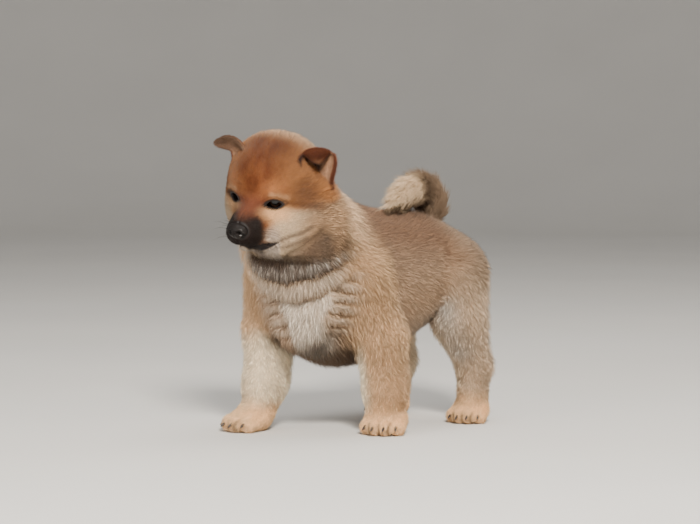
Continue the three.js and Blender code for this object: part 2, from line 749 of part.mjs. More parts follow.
// Ears: cupped sheets that stand up from the skull. The left one folds over to the front, and the
// right one droops sideways, with its pale inside to the front.
const ears = {
  left: { side: 1, at: v3(41, 33, 9), lean: -3, faces: 36, cup: 0.8, taper: 2.6 },
  right: { side: -1, at: v3(-28, 15, 13.5), lean: -3, faces: 15, cup: 0.55, taper: 1.8 },
};
const earFolds = {
  left: { sideways: 0, start: 0.54, end: 0.9, angle: 155 },
  right: { sideways: 75, start: 0.25, end: 0.8, angle: 108 },
};
function earSolid(name) {
  const { side, at, lean, faces, cup, taper } = ears[name];
  const { sideways, start, end, angle } = earFolds[name];
  const frame = new THREE.Object3D();
  frame.position.copy(at);
  frame.rotation.set(0, radians(side * lean), radians(side * faces), "ZYX");
  frame.updateMatrix();
  const toWorld = head.matrixWorld.clone().multiply(frame.matrix);
  const rows = 9;
  const columns = 6;
  const foldAxis = v3(Math.cos(radians(sideways)), side * Math.sin(radians(sideways)), 0);
  const inner = [];
  const outer = [];
  const spine = v3(0, 0, 0);
  for (let i = 0; i <= rows; i++) {
    const s = i / rows;
    const bend = radians(angle) * smoothstep(s, start, end);
    const up = v3(0, 0, 1).applyAxisAngle(foldAxis, bend);
    const face = v3(0, -1, 0).applyAxisAngle(foldAxis, bend);
    const width = v3(1, 0, 0).applyAxisAngle(foldAxis, bend);
    if (i) spine.addScaledVector(up, EAR_LENGTH[name] / rows);
    const widening = lerp(0.7, 1, smoothstep(s, 0.1, 0.55));
    const half = EAR_HALF_WIDTH[name] * widening * Math.pow(1 - Math.pow(s, taper), 0.62) + 1.2;
    const thick = lerp(3.4, 1.8, s);
    for (let j = 0; j <= columns; j++) {
      const t = (2 * j) / columns - 1;
      const depth = cup * half * t * t * lerp(1, 0.35, s);
      const across = (half * Math.sin(t * 1.35)) / Math.sin(1.35);
      const middle = spine.clone().addScaledVector(face, depth).addScaledVector(width, across);
      const edge = lerp(1, 0.55, t * t) * thick;
      inner.push(middle.clone().addScaledVector(face, edge / 2));
      outer.push(middle.clone().addScaledVector(face, -edge / 2));
    }
  }
  const wide = columns + 1;
  const back = inner.length;
  const faceList = [];
  const quad = (a, b, c, d) => faceList.push(a, b, c, a, c, d);
  for (let i = 0; i < rows; i++)
    for (let j = 0; j < columns; j++) {
      const k = i * wide + j;
      quad(k, k + 1, k + wide + 1, k + wide);
      faceList.push(back + k, back + k + wide + 1, back + k + 1);
      faceList.push(back + k, back + k + wide, back + k + wide + 1);
    }
  for (let j = 0; j < columns; j++) {
    quad(j + 1, j, back + j, back + j + 1);
    const k = rows * wide + j;
    quad(k, k + 1, back + k + 1, back + k);
  }
  for (let i = 0; i < rows; i++) {
    const a = i * wide;
    quad(a, a + wide, back + a + wide, back + a);
    const b = a + columns;
    quad(b + wide, b, back + b, back + b + wide);
  }
  const all = [...inner, ...outer].map((p) => p.applyMatrix4(toWorld));
  return solidFrom(all.flatMap((p) => p.toArray()), faceList);
}
for (const name of Object.keys(ears)) add(`ear_${name}`, earSolid(name).subtract(headGrown), "ear");

// One length of the tail, from the base or from the cut before it to the next cut
const croup = share({ box: [[-60, -40, 150], [60, 110, 235]], step: [8, 8, 8] }, GAP + 0.5);
const TAIL_BOX = [[-35, -50, 175], [50, 105, 255]];
function tailLength(index, grow) {
  let piece = solidOfField(tail, ...TAIL_BOX, [9, 9, 9], grow);
  if (index) piece = piece.trimByPlane([0, -1, 0], -TAIL_CUTS[index - 1] + GAP / 2 - grow);
  if (index < TAIL_CUTS.length) piece = piece.trimByPlane([0, 1, 0], TAIL_CUTS[index] + GAP / 2 - grow);
  return piece;
}
// Trunk and legs
const neighbours = {
  neck: ["head", "chest", "fore_left_upper_arm", "fore_right_upper_arm"],
  chest: ["neck", "loin", "fore_left_upper_arm", "fore_right_upper_arm"],
  hind_left_thigh: ["rump", "hind_left_shank"],
  hind_right_thigh: ["rump", "hind_right_shank"],
  fore_left_forearm: ["chest", "fore_left_upper_arm", "fore_left_paw"],
  fore_right_forearm: ["chest", "fore_right_upper_arm", "fore_right_paw"],
};
for (const [name, part] of Object.entries(parts)) {
  if (name === "head") continue;
  const body = share(part);
  if (!locks[name]) {
    add(name, body, part.finish);
    continue;
  }
  let set = lockSet(name, neighbours[name]);
  if (name === "chest") set = set.subtract(tailLength(2, GAP + 0.9));
  add(name, body.add(set), part.finish);
}

// Tail in three lengths
TAIL_NODES.forEach((name, index) => {
  let tufts = lockSet(name, []);
  TAIL_NODES.forEach((_, other) => {
    if (other !== index) tufts = tufts.subtract(tailLength(other, GAP + 0.9));
  });
  add(name, tailLength(index, 0).add(tufts).subtract(croup), "sable");
});

// Claws: four on each paw
function clawSolid(frame, { side, ahead, turn }) {
  const sides = 4;
  const rings = 2;
  const vertices = [];
  const triangles = [];
  for (let i = 0; i <= rings; i++) {
    const t = i / rings;
    const radius = i === rings ? 0.35 : lerp(2.2, 1.1, t);
    for (let j = 0; j < sides; j++) {
      const a = (2 * Math.PI * j) / sides;
      const droop = 1.2 - 3.6 * t * t;
      vertices.push(v3(radius * 0.8 * Math.cos(a), -t * CLAW_LENGTH, droop + radius * Math.sin(a)));
    }
  }
  for (let i = 0; i < rings; i++)
    for (let j = 0; j < sides; j++) {
      const a = i * sides + j;
      const b = i * sides + ((j + 1) % sides);
      triangles.push(a, b, b + sides, a, b + sides, a + sides);
    }
  for (let j = 1; j < sides - 1; j++) {
    const tip = rings * sides;
    triangles.push(0, j + 1, j, tip, tip + j, tip + j + 1);
  }
  const place = new THREE.Object3D();
  place.position.set(side * 1.06, ahead - 4.6, 7.6);
  place.rotation.z = radians(-turn);
  place.updateMatrix();
  const toWorld = frame.matrixWorld.clone().multiply(place.matrix);
  return solidFrom(vertices.flatMap((p) => p.applyMatrix4(toWorld).toArray()), triangles);
}
for (const leg of allLegs) {
  const pawGrown = share(parts[`${leg}_paw`], GAP + 0.3);
  TOES.forEach((toe, i) => {
    add(`${leg}_claw_${i + 1}`, clawSolid(legs[leg].frame, toe).subtract(pawGrown), "claw");
  });
}

// The origin is under the middle of the whole puppy.
const bounds = new THREE.Box3().setFromObject(dog, true);
const middle = bounds.getCenter(v3(0, 0, 0));
dog.position.set(-middle.x, -middle.y, -bounds.min.z);

const group = new THREE.Group();
group.add(dog);
export default group;
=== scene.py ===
"""A shiba inu puppy as a still, life-size model: its skin, coat, eyes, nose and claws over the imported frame.

Shapes are worked out in millimetres in the puppy's own drawing frame, where it faces -Y with its paws
on z = 0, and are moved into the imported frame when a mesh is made.
"""

import math

import bmesh
import bpy
import numpy as np
from mathutils import Matrix, Vector, kdtree


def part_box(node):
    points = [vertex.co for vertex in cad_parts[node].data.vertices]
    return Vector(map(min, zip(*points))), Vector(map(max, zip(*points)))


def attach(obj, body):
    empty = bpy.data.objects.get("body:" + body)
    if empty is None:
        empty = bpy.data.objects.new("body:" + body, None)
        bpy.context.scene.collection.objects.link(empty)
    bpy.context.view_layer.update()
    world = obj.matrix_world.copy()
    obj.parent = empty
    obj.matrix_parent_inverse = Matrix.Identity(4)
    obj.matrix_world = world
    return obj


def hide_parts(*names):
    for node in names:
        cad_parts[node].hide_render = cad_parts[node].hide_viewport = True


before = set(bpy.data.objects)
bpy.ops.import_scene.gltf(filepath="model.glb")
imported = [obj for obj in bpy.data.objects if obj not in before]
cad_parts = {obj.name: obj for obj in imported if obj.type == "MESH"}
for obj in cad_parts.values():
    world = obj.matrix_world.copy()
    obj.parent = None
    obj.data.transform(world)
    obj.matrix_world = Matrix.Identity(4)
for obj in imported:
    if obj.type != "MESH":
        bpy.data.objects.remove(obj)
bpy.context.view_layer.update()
rng = np.random.default_rng(20)

# Head: its place and turns, and its eyes, mouth and nose in its own frame
HEAD_AT = np.array([0.0, -158.0, 218.0])
HEAD_YAW, HEAD_PITCH, HEAD_ROLL = 16, 12, 9
NAPE_AT, NAPE_FACES = (0, 50, 0), (0, -0.8, 0.6)
EYE_RADIUS = 9.0
CORNEA_BULGE = 0.35
EYE_AT = (15.5, 3.6, 0.0)
EYE_LOOKS = (0.46, -0.88, 0.05)
EYE_OPENING = (14.6, 7.5)
EYE_OPENING_SHIFT = (1.2, -1.5)
EYE_SLANT = 8
RIM_ABOVE, RIM_BELOW = 0.54, 0.45
SOCKET_GAP, OPENING_DEPTH = 0.12, 15
LID_THICKNESS = 1.3
UPPER_LID, LOWER_LID = 0.72, 0.6
MOUTH_X = (0, 3, 6, 10, 15, 21, 26, 30)
MOUTH_Z = (-37.2, -38, -38.8, -38.2, -36.7, -35, -33.4, -31.8)
LIP_HEIGHT = (0.5, 1.5, 5.5, 7.5, 7, 5, 3.4, 1.2)
NOSE_AT = (0.0, -36.0, -21.5)
NOSE_SIZE = (20.0, 13.0, 15.0)


def turn_about(axis, degrees):
    return np.array(Matrix.Rotation(math.radians(degrees), 3, axis))


HEAD_TURN = turn_about("Z", HEAD_YAW) @ turn_about("X", HEAD_PITCH) @ turn_about("Y", HEAD_ROLL)


def on_head(points):
    """Points given in the head's own frame, in the drawing frame."""
    return HEAD_AT + np.asarray(points, float) @ HEAD_TURN.T


def in_head(points):
    return (points - HEAD_AT) @ HEAD_TURN


eye_low, eye_high = (np.array(corner) * 1000 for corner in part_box("eye_left"))
SHIFT = (eye_low + eye_high) / 2 - on_head(EYE_AT)


def to_frame(points):
    """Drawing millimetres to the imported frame's metres."""
    return (np.asarray(points, float) + SHIFT) * 0.001


def from_frame(points):
    return np.asarray(points, float) * 1000 - SHIFT


# Fields: functions of an array of points, negative inside, and about the distance outside
def ellipsoid(centre, radii):
    centre, radii = np.array(centre, float), np.array(radii, float)

    def field(p):
        q = (p - centre) / radii
        reach = np.linalg.norm(q, axis=1)
        slope = np.maximum(np.linalg.norm(q / radii, axis=1), 1e-9)
        return reach * (reach - 1) / slope

    return field


def round_cone(a, b, ra, rb):
    a, b = np.array(a, float), np.array(b, float)
    way = b - a
    l2 = way @ way
    rr = ra - rb
    a2 = l2 - rr * rr

    def field(p):
        from_a = p - a
        along = from_a @ way
        past = along - l2
        x2 = ((from_a * l2 - way * along[:, None]) ** 2).sum(1)
        y2 = along * along * l2
        z2 = past * past * l2
        k = np.sign(rr) * rr * rr * x2
        body = (np.sqrt(x2 * a2 / l2) + along * rr) / l2 - ra
        at_a = np.sqrt(x2 + y2) / l2 - ra
        at_b = np.sqrt(x2 + z2) / l2 - rb
        body = np.where(np.sign(along) * a2 * y2 < k, at_a, body)
        return np.where(np.sign(past) * a2 * z2 > k, at_b, body)

    return field


def meld(values, soft):
    """Smooth minimum of a list of distances."""
    d = values[0]
    for e in values[1:]:
        h = np.maximum(soft - np.abs(d - e), 0) / soft
        d = np.minimum(d, e) - h * h * soft / 4
    return d


def blend(soft, *fields):
    return lambda p: meld([field(p) for field in fields], soft)


def chain(stops, soft):
    links = [round_cone(a[:3], b[:3], a[3], b[3]) for a, b in zip(stops, stops[1:])]
    return blend(soft, *links)


def mirrored(field, soft):
    flip = np.array([-1.0, 1.0, 1.0])
    return lambda p: meld([field(p), field(p * flip)], soft)


def smooth(x, low, high):
    t = np.clip((x - low) / (high - low), 0, 1)
    return t * t * (3 - 2 * t)


def bell(x, width):
    """1 at x = 0, fading to both sides."""
    return np.exp(-((x / width) ** 2))


def mix(a, b, t):
    t = np.asarray(t)
    if t.ndim == 1 and (np.ndim(a) == 2 or np.ndim(b) == 2 or np.size(b) == 3):
        t = t[:, None]
    return a * (1 - t) + b * t


def from_centre(p, centre, radii):
    """Distance of each point from an ellipsoid's centre: 1 on its surface."""
    return np.linalg.norm((p - np.array(centre)) / np.array(radii), axis=1)


def unit(v):
    return v / np.maximum(np.linalg.norm(v, axis=-1, keepdims=True), 1e-9)


def one_side(p):
    """The points, with those of the right side mirrored to the left."""
    return np.stack([np.abs(p[:, 0]), p[:, 1], p[:, 2]], 1)


def near_line(p, stops):
    """Distance of each point from the line through the stops."""
    stops = np.array(stops, float)
    near = np.full(len(p), 1e9)
    for a, b in zip(stops, stops[1:]):
        t = np.clip((p - a) @ (b - a) / ((b - a) @ (b - a)), 0, 1)
        near = np.minimum(near, np.linalg.norm(p - a - t[:, None] * (b - a), axis=1))
    return near


def wobble(p, scale):
    """Slow waves that break up straight edges."""
    a = np.sin(p @ np.array([1.0, 0.7, 0.4]) / scale) + np.sin(p @ np.array([-0.5, 1.1, 0.8]) / scale + 2)
    return (a + np.sin(p @ np.array([0.3, -0.8, 1.3]) / scale * 1.7 + 4)) / 3


# The puppy's forms, over the coat, in millimetres: the same values as the solids. A ball is a centre, radii, and
# how softly its mirror image is joined to it. A cone is two ends and their radii. A station of the trunk is its
# y, half its width, and the heights of its top and bottom
SKULL = [
    ((11, 31, 9), (32, 40, 39), 24),
    ((24, 29, -17), (21, 30, 27), 1),
    ((13, 5, 9), (12, 11, 11), 6),
]
MUZZLE_CONE = ((0, 10, -15), (0, -23, -23), 24, 15.5)
MUZZLE_PADS = ((9, -18, -27.5), (9, 16, 9.5), 2)
JAW_CONE = ((0, 18, -36), (0, -19, -36.5), 14, 9)
JAW_ANGLE = ((17, 10, -33), (14, 22, 14), 6)
EAR_ROOT = ((44, 33, 3), (14, 13, 13))
TRUNK_STATIONS = [
    (-100, 53, 182, 72),
    (-72, 63, 205, 61),
    (-40, 65, 210, 60),
    (0, 61, 206, 71),
    (35, 55, 202, 86),
    (65, 52, 196, 96),
    (90, 46, 184, 106),
]
TRUNK_CAPS = (34, 22)

# Limbs as stops with a radius each; each leg also has its paw's place and turn in degrees
NECK = [(0, -72, 152, 58), (-2, -102, 176, 54), (-1, -120, 200, 46)]
LEGS = {
    "fore_left": (
        [(41, -72, 140, 36), (51, -55, 90, 24.5), (52, -48, 42, 20), (54, -50, 20, 17)],
        (57, -53, 0),
        26,
    ),
    "fore_right": (
        [(-42, -92, 140, 36), (-54, -95, 92, 25), (-50, -104, 44, 20), (-49, -113, 21, 16)],
        (-50, -127, 0),
        -6,
    ),
    "hind_left": (
        [(30, 65, 142, 39), (42, 63, 98, 26), (47, 79, 52, 16), (50, 74, 24, 14.5)],
        (53, 66, 0),
        22,
    ),
    "hind_right": (
        [(-30, 63, 142, 39), (-43, 52, 98, 26), (-43, 68, 52, 16), (-43, 62, 24, 14.5)],
        (-43, 54, 0),
        -14,
    ),
}
# The paw's ball; the toes' places aside and ahead, and their claws' turns; then the radius, place behind and
# height of a toe's back and tip
PAW = ((0, 6, 11), (16.5, 17, 14))
TOES = [(-13.6, -9, 12), (-4.9, -15.5, 3), (4.9, -15.5, -3), (13.6, -9, -12)]
TOE_ENDS = ((9, 15, 12.5), (7.5, 0, 6.9))
HIND_PAW_SCALE = 40 / 43
TAIL = [
    (0, 66, 186, 12.3),
    (-0.1, 68.2, 197.5, 14.7),
    (0.1, 67.2, 208, 16.6),
    (1.1, 59.8, 217.4, 17.7),
    (2.7, 49.3, 221.9, 17.7),
    (4.8, 35.5, 220.1, 16.4),
    (8.7, 21.9, 217.3, 14.1),
    (14, 8.6, 213.7, 11),
    (18.6, -3.4, 210.4, 8),
    (23, -15, 207, 7.5),
]

skull = blend(14, *[mirrored(ellipsoid(c, r), soft) for c, r, soft in SKULL], ellipsoid(*EAR_ROOT))
muzzle = blend(6, round_cone(*MUZZLE_CONE), mirrored(ellipsoid(*MUZZLE_PADS[:2]), MUZZLE_PADS[2]))
jaw = blend(8, round_cone(*JAW_CONE), mirrored(ellipsoid(*JAW_ANGLE[:2]), JAW_ANGLE[2]))
head_form = blend(2.5, blend(10, skull, muzzle), jaw)


def head_field(p):
    return head_form(in_head(p))


station_y = np.array([s[0] for s in TRUNK_STATIONS], float)
section_y = np.arange(station_y[0], station_y[-1] + 1.0)


def section_curve(values):
    """A smooth curve through the stations' values, sampled each millimetre."""
    slopes = np.gradient(np.array(values, float), station_y)
    k = np.clip(np.searchsorted(station_y, section_y, side="right") - 1, 0, len(station_y) - 2)
    span = station_y[k + 1] - station_y[k]
    t = (section_y - station_y[k]) / span
    v = np.array(values, float)
    return (
        (2 * t**3 - 3 * t**2 + 1) * v[k]
        + (t**3 - 2 * t**2 + t) * span * slopes[k]
        + (3 * t**2 - 2 * t**3) * v[k + 1]
        + (t**3 - t**2) * span * slopes[k + 1]
    )


section_half, section_top, section_bottom = (section_curve([s[n] for s in TRUNK_STATIONS]) for n in (1, 2, 3))


def trunk_field(p):
    y = np.clip(p[:, 1], station_y[0], station_y[-1])
    half, top, bottom = (np.interp(y, section_y, v) for v in (section_half, section_top, section_bottom))
    cap = np.where(p[:, 1] < station_y[0], TRUNK_CAPS[0], TRUNK_CAPS[1])
    tall = (top - bottom) / 2
    q = np.stack([p[:, 0] / half, (p[:, 1] - y) / cap, (p[:, 2] - (top + bottom) / 2) / tall], 1)
    reach = np.linalg.norm(q, axis=1)
    slope = np.linalg.norm(q / np.stack([half, cap, tall], 1), axis=1)
    return np.where(slope < 1e-6, -np.minimum(half, tall), reach * (reach - 1) / np.maximum(slope, 1e-6))


neck_field = chain(NECK, 20)
tail_field = chain(TAIL, 6)


def paw_scale(name):
    return 1.0 if name.startswith("fore") else HIND_PAW_SCALE


def in_paw(name, p):
    _, at, turn = LEGS[name]
    return (p - np.array(at)) @ turn_about("Z", turn) / paw_scale(name)


def on_paw(name, p):
    _, at, turn = LEGS[name]
    return np.array(at) + np.asarray(p, float) @ turn_about("Z", turn).T * paw_scale(name)


def toe(side, ahead):
    """The middles of a toe's back and tip, in its paw's frame, and their radii."""
    (back, behind, high), (tip, _, low) = TOE_ENDS
    return (side * 0.7, ahead + behind, high), (side, ahead, low), back, tip


toe_fields = [round_cone(*toe(side, ahead)) for side, ahead, _ in TOES]
paw_form = blend(4, ellipsoid(*PAW), blend(1.2, *toe_fields))


def leg_field(name):
    limb = chain(LEGS[name][0], 9)
    return lambda p: meld([limb(p), paw_form(in_paw(name, p)) * paw_scale(name)], 7)


leg_fields = {name: leg_field(name) for name in LEGS}


def survey(p):
    """How far each point is from each form, and its place in the head's frame."""
    h, legs = in_head(p), np.stack([field(p) for field in leg_fields.values()])
    trunk, neck, tail = trunk_field(p), neck_field(p), tail_field(p)
    torso = meld([trunk, neck], 24)
    coat = meld([meld([torso, *legs], 12), head_form(h)], 6)
    ahead = (h - np.array(NAPE_AT)) @ np.array(NAPE_FACES)
    return {
        "p": p, "h": h, "legs": legs, "trunk": trunk, "neck": neck, "tail": tail, "coat": coat,
        "headness": smooth(ahead, -9, 7) * smooth(h[:, 2], -52, -43),
        "legness": smooth(torso - legs.min(0), -4, 14) * smooth(p[:, 2], 170, 110),
        "tailness": smooth(coat - tail, -5, 5),
    }


def eye_frame(side):
    """Centre and the axes across, up and out of one eye, in the head's frame."""
    out = unit(np.array([side * EYE_LOOKS[0], EYE_LOOKS[1], EYE_LOOKS[2]]))
    up = np.array([-side * math.sin(math.radians(EYE_SLANT)), 0, 1])
    across = unit(np.cross(up, out))
    return np.array([side * EYE_AT[0], EYE_AT[1], EYE_AT[2]]), np.stack([across, np.cross(out, across), out])


def beside_eye(h):
    """Each point's place in the nearer eye's almond (1 on the rim), and its distance from that eye."""
    rim = np.full(len(h), 99.0)
    far = np.full(len(h), 99.0)
    for side in (1, -1):
        centre, axes = eye_frame(side)
        q = (h - centre) @ axes.T
        q[:, 0] += side * EYE_OPENING_SHIFT[0]
        q[:, 1] -= EYE_OPENING_SHIFT[1]
        tall = np.where(q[:, 1] > 0, RIM_ABOVE, RIM_BELOW) * EYE_OPENING[1]
        e = (np.abs(q[:, 0]) / (EYE_OPENING[0] / 2 + 0.3)) ** 1.7 + (np.abs(q[:, 1]) / tall) ** 1.5
        e = np.where(q[:, 2] < 0, 99, e)
        rim = np.minimum(rim, e)
        far = np.minimum(far, np.linalg.norm(h - centre, axis=1))
    return rim, far


def mouth_height(h):
    """Height above the line of the mouth, the height of the black lip below it, and nearness to that line."""
    x, y = np.abs(h[:, 0]), h[:, 1]
    above = h[:, 2] - np.interp(x, MOUTH_X, MOUTH_Z)
    return above, np.interp(x, MOUTH_X, LIP_HEIGHT), smooth(y, -6, -10) * smooth(x, 31.5, 29)


# The coat's folds: lines in the head's frame, heights of the neck's folds by distance from its middle, and
# edges of the bib by height
CHEEK_FOLD = [(31, -12.5, -31), (38, -9, -27), (46, -4, -24), (52, 3, -19)]
LOW_CHEEK_FOLD = [(33, -12, -37), (42, -9, -33), (50, -3, -28)]
JAW_CREASE = [
    (6, -2, -59), (17, -5, -54), (29, -8, -48), (41, -10, -42),
    (48, -6, -37), (53, -2, -32), (56, 3, -28), (60, 10, -22),
]
NECK_MIDDLE, CHEST_MIDDLE = 14, 19
COLLAR = ((0, 8, 22, 33, 40, 46, 56), (126, 127, 130.5, 141, 149, 160, 176))
JAW_LINE = ((0, 8, 23, 32, 38, 44, 52), (161, 163, 167, 174, 182, 190, 200))
BIB_HEIGHTS, BIB_RIGHT, BIB_LEFT = (77, 96, 113, 126), (2, 5, 6, -2), (25, 33, 36, 44)

# Depth of the skin in the coat: heights and depths on the legs and the torso, and the depth on the tail
LEG_DEPTH = ((6, 14, 24, 45, 80, 120, 150), (0.7, 0.9, 1.3, 2.6, 4.5, 7.0, 8.5))
TORSO_DEPTH = ((60, 90, 140), (6.0, 8.0, 9.0))
TAIL_DEPTH = 7.5
SLOPE_STEP = 0.4


def neck_fold(p):
    """Place from the fold round the chest (0) to the fold under the jaw (1), and nearness to the front."""
    x = np.abs(p[:, 0] - NECK_MIDDLE)
    low, high = np.interp(x, *COLLAR), np.interp(x, *JAW_LINE)
    front = smooth(p[:, 1], -84, -112) * smooth(x, 60, 46)
    return (p[:, 2] - low) / (high - low) + 0.05 * wobble(p, 4), front


def chest_folds(p):
    """Height of the folds of the chest's coat, how creased it is, and 1 on the pale bib between them."""
    x, z = p[:, 0], p[:, 2]
    fold, _ = neck_fold(p)
    chest = smooth(fold, 0.06, -0.06) * smooth(p[:, 1], -80, -100)
    low, high = np.interp(z, BIB_HEIGHTS, BIB_RIGHT), np.interp(z, BIB_HEIGHTS, BIB_LEFT)
    bib = smooth(x, low - 4, low + 3) * smooth(x, high + 4, high - 3) * chest
    away = np.abs(x - CHEST_MIDDLE)
    ripple = 0.5 + 0.5 * np.sin(z / 1.75 + 1.6 * wobble(p, 11) + away / 9)
    creased = (chest - bib) * smooth(z, 86, 96) * smooth(away, 58, 36)
    return ripple, creased, bib


def coat_depth(s):
    """How far the skin lies inside the coat's surface."""
    h, p = s["h"], s["p"]
    leg, torso = np.interp(p[:, 2], *LEG_DEPTH), np.interp(p[:, 2], *TORSO_DEPTH)
    fold, front = neck_fold(p)
    ripple, creased, _ = chest_folds(p)
    body = mix(torso, leg, s["legness"]) + 4 * bell(fold + 0.02, 0.09) * front
    body = body + 2 * bell(fold - 0.5, 0.08) * front + creased * (1.5 - 3.4 * ripple)
    cheek = smooth(h[:, 1], 4, 38) * smooth(h[:, 2], 14, -12)
    m = one_side(h)
    folds = 1.6 * bell(near_line(m, JAW_CREASE), 3) + 0.7 * bell(near_line(m, CHEEK_FOLD), 1.8)
    head = folds + 0.7 + 1.1 * smooth(h[:, 1], -14, 18) + 1.6 * smooth(h[:, 1], 18, 52) + 4.5 * cheek
    head = mix(head, 0.4, smooth(beside_eye(h)[1], 15, 11))
    return mix(body, head, s["headness"])


def skin_field(p):
    s = survey(p)
    from_eyes = [np.linalg.norm(s["h"] - eye_frame(side)[0], axis=1) for side in (1, -1)]
    lids = [away - EYE_RADIUS - LID_THICKNESS for away in from_eyes]
    flesh = meld([s["coat"] + coat_depth(s), *lids], 3)
    return meld([flesh, s["tail"] + TAIL_DEPTH], 5)


def slope_of(field, p):
    """A field's values and slopes, from steps of SLOPE_STEP along each axis."""
    here = field(p)
    rise = [(field(p + SLOPE_STEP * axis) - here) / SLOPE_STEP for axis in np.eye(3)]
    return here, np.stack(rise, 1)


def onto_skin(p, turns=3, reach=2.5):
    for _ in range(turns):
        here, slope = slope_of(skin_field, p)
        move = -here[:, None] * slope / np.maximum((slope**2).sum(1, keepdims=True), 0.1)
        far = np.linalg.norm(move, axis=1, keepdims=True)
        p = p + move * np.minimum(1, reach / np.maximum(far, 1e-9))
    return p


# Meshes: the voxels in which the skin is melted together, the part of the head that gets a finer skin, and how
# far skin and hair stay above the floor
VOXEL, QUICK_VOXEL = 1.7, 2.4
FACE_LOW, FACE_HIGH = (-36, -99, -52), (36, 6, 14)
SKIN_CLEAR, HAIR_CLEAR = 0.05, 0.1


def new_object(name, data, *materials):
    piece = bpy.data.objects.new(name, data)
    bpy.context.collection.objects.link(piece)
    for material in materials:
        data.materials.append(material)
    return piece


def mesh_of(bm, name):
    mesh = bpy.data.meshes.new(name)
    bm.to_mesh(mesh)
    bm.free()
    return mesh


def values_of(items, key, width, kind=np.float32):
    """One row of a mesh's own numbers for each of its items."""
    flat = np.empty(len(items) * width, kind)
    items.foreach_get(key, flat)
    return flat.reshape(-1, width)


def coords(mesh):
    return values_of(mesh.vertices, "co", 3).astype(float)


def set_coords(mesh, points):
    mesh.vertices.foreach_set("co", np.ascontiguousarray(points, np.float32).ravel())
    mesh.update()


def apply_modifiers(piece):
    depsgraph = bpy.context.evaluated_depsgraph_get()
    mesh = bpy.data.meshes.new_from_object(piece.evaluated_get(depsgraph))
    piece.modifiers.clear()
    old = piece.data
    piece.data = mesh
    bpy.data.meshes.remove(old)
    return mesh


def set_looks(mesh, hue, strand):
    """Each vertex's hair colour; and its place along a hair, the hair's shade, and bareness."""
    for name, values in (("hue", hue), ("strand", strand)):
        colours = np.ones((len(mesh.vertices), 4), np.float32)
        colours[:, :3] = values
        mesh.attributes.new(name, "FLOAT_COLOR", "POINT").data.foreach_set("color", colours.ravel())


def shade_smooth(mesh):
    mesh.polygons.foreach_set("use_smooth", np.ones(len(mesh.polygons), bool))


def smooth_piece(mesh, points, *materials):
    """A piece from a mesh whose points are given in the drawing frame."""
    set_coords(mesh, to_frame(points))
    shade_smooth(mesh)
    return new_object(mesh.name, mesh, *materials)


def put_ball(bm, centre, radii, turn=np.eye(3), subdivisions=3):
    place = Matrix(turn).to_4x4() @ Matrix.Diagonal((*radii, 1))
    place.translation = Vector(centre)
    return bmesh.ops.create_icosphere(bm, subdivisions=subdivisions, radius=1, matrix=place)["verts"]


def put_hull(bm, balls):
    """The hull round a few balls, each (centre, radii)."""
    shell = bmesh.new()
    for centre, radii in balls:
        put_ball(shell, centre, radii, subdivisions=2)
    bmesh.ops.delete(shell, geom=shell.edges[:], context="EDGES_FACES")
    bmesh.ops.convex_hull(shell, input=shell.verts[:])
    bmesh.ops.delete(shell, geom=[v for v in shell.verts if not v.link_faces], context="VERTS")
    mesh = mesh_of(shell, "hull")
    bm.from_mesh(mesh)
    bpy.data.meshes.remove(mesh)


def rough_body():
    """Balls and hulls in the puppy's shape, ready to be melted into one surface."""
    bm = bmesh.new()
    for side in (1, -1):
        flip = np.array([side, 1, 1])
        for centre, radii in [s[:2] for s in SKULL] + [MUZZLE_PADS[:2], JAW_ANGLE[:2]]:
            put_ball(bm, on_head(np.array(centre) * flip), radii, HEAD_TURN)
    put_ball(bm, on_head(EAR_ROOT[0]), EAR_ROOT[1], HEAD_TURN)
    for a, b, ra, rb in (MUZZLE_CONE, JAW_CONE):
        put_hull(bm, [(on_head(a), [ra] * 3), (on_head(b), [rb] * 3)])
    trunk = [((0, y, (top + low) / 2), (half, 14, (top - low) / 2)) for y, half, top, low in TRUNK_STATIONS]
    for pair in zip(trunk, trunk[1:]):
        put_hull(bm, pair)
    for stops in [NECK, TAIL] + [leg[0] for leg in LEGS.values()]:
        thinner = 6 if stops is TAIL else 0
        for pair in zip(stops, stops[1:]):
            put_hull(bm, [(end[:3], [max(end[3] - thinner, 2)] * 3) for end in pair])
    for name, (_, _, turn) in LEGS.items():
        k = paw_scale(name)
        put_ball(bm, on_paw(name, PAW[0]), np.array(PAW[1]) * k, turn_about("Z", turn))
        for side, ahead, _ in TOES:
            back, tip, *radii = toe(side, ahead)
            put_hull(bm, [(end, [radius * k] * 3) for end, radius in zip(on_paw(name, (back, tip)), radii)])
    return mesh_of(bm, "rough_body")


def relax(points, edges, amount):
    """Evens the spacing of a mesh's points."""
    total = np.zeros_like(points)
    count = np.zeros(len(points))
    for a, b in ((0, 1), (1, 0)):
        for n in range(3):
            total[:, n] += np.bincount(edges[:, a], points[edges[:, b], n], len(points))
        count += np.bincount(edges[:, a], minlength=len(points))
    return points + amount * (total / np.maximum(count, 1)[:, None] - points)


def almond_outline(count):
    """Points round the eye's opening, across and up."""
    width, height = EYE_OPENING
    t = np.linspace(0, 1, count // 2, endpoint=False)[:, None]
    low, high = -height * LOWER_LID, height * UPPER_LID
    lower = [(-width / 2, 0), (-width / 5, low), (width / 5, low), (width / 2, 0)]
    upper = [(width / 2, 0), (width / 5, high), (-width / 5, high), (-width / 2, 0)]
    rows = []
    for a, b, c, d in (np.array(lower), np.array(upper)):
        rows.append(a * (1 - t) ** 3 + 3 * b * t * (1 - t) ** 2 + 3 * c * t**2 * (1 - t) + d * t**3)
    return np.concatenate(rows)


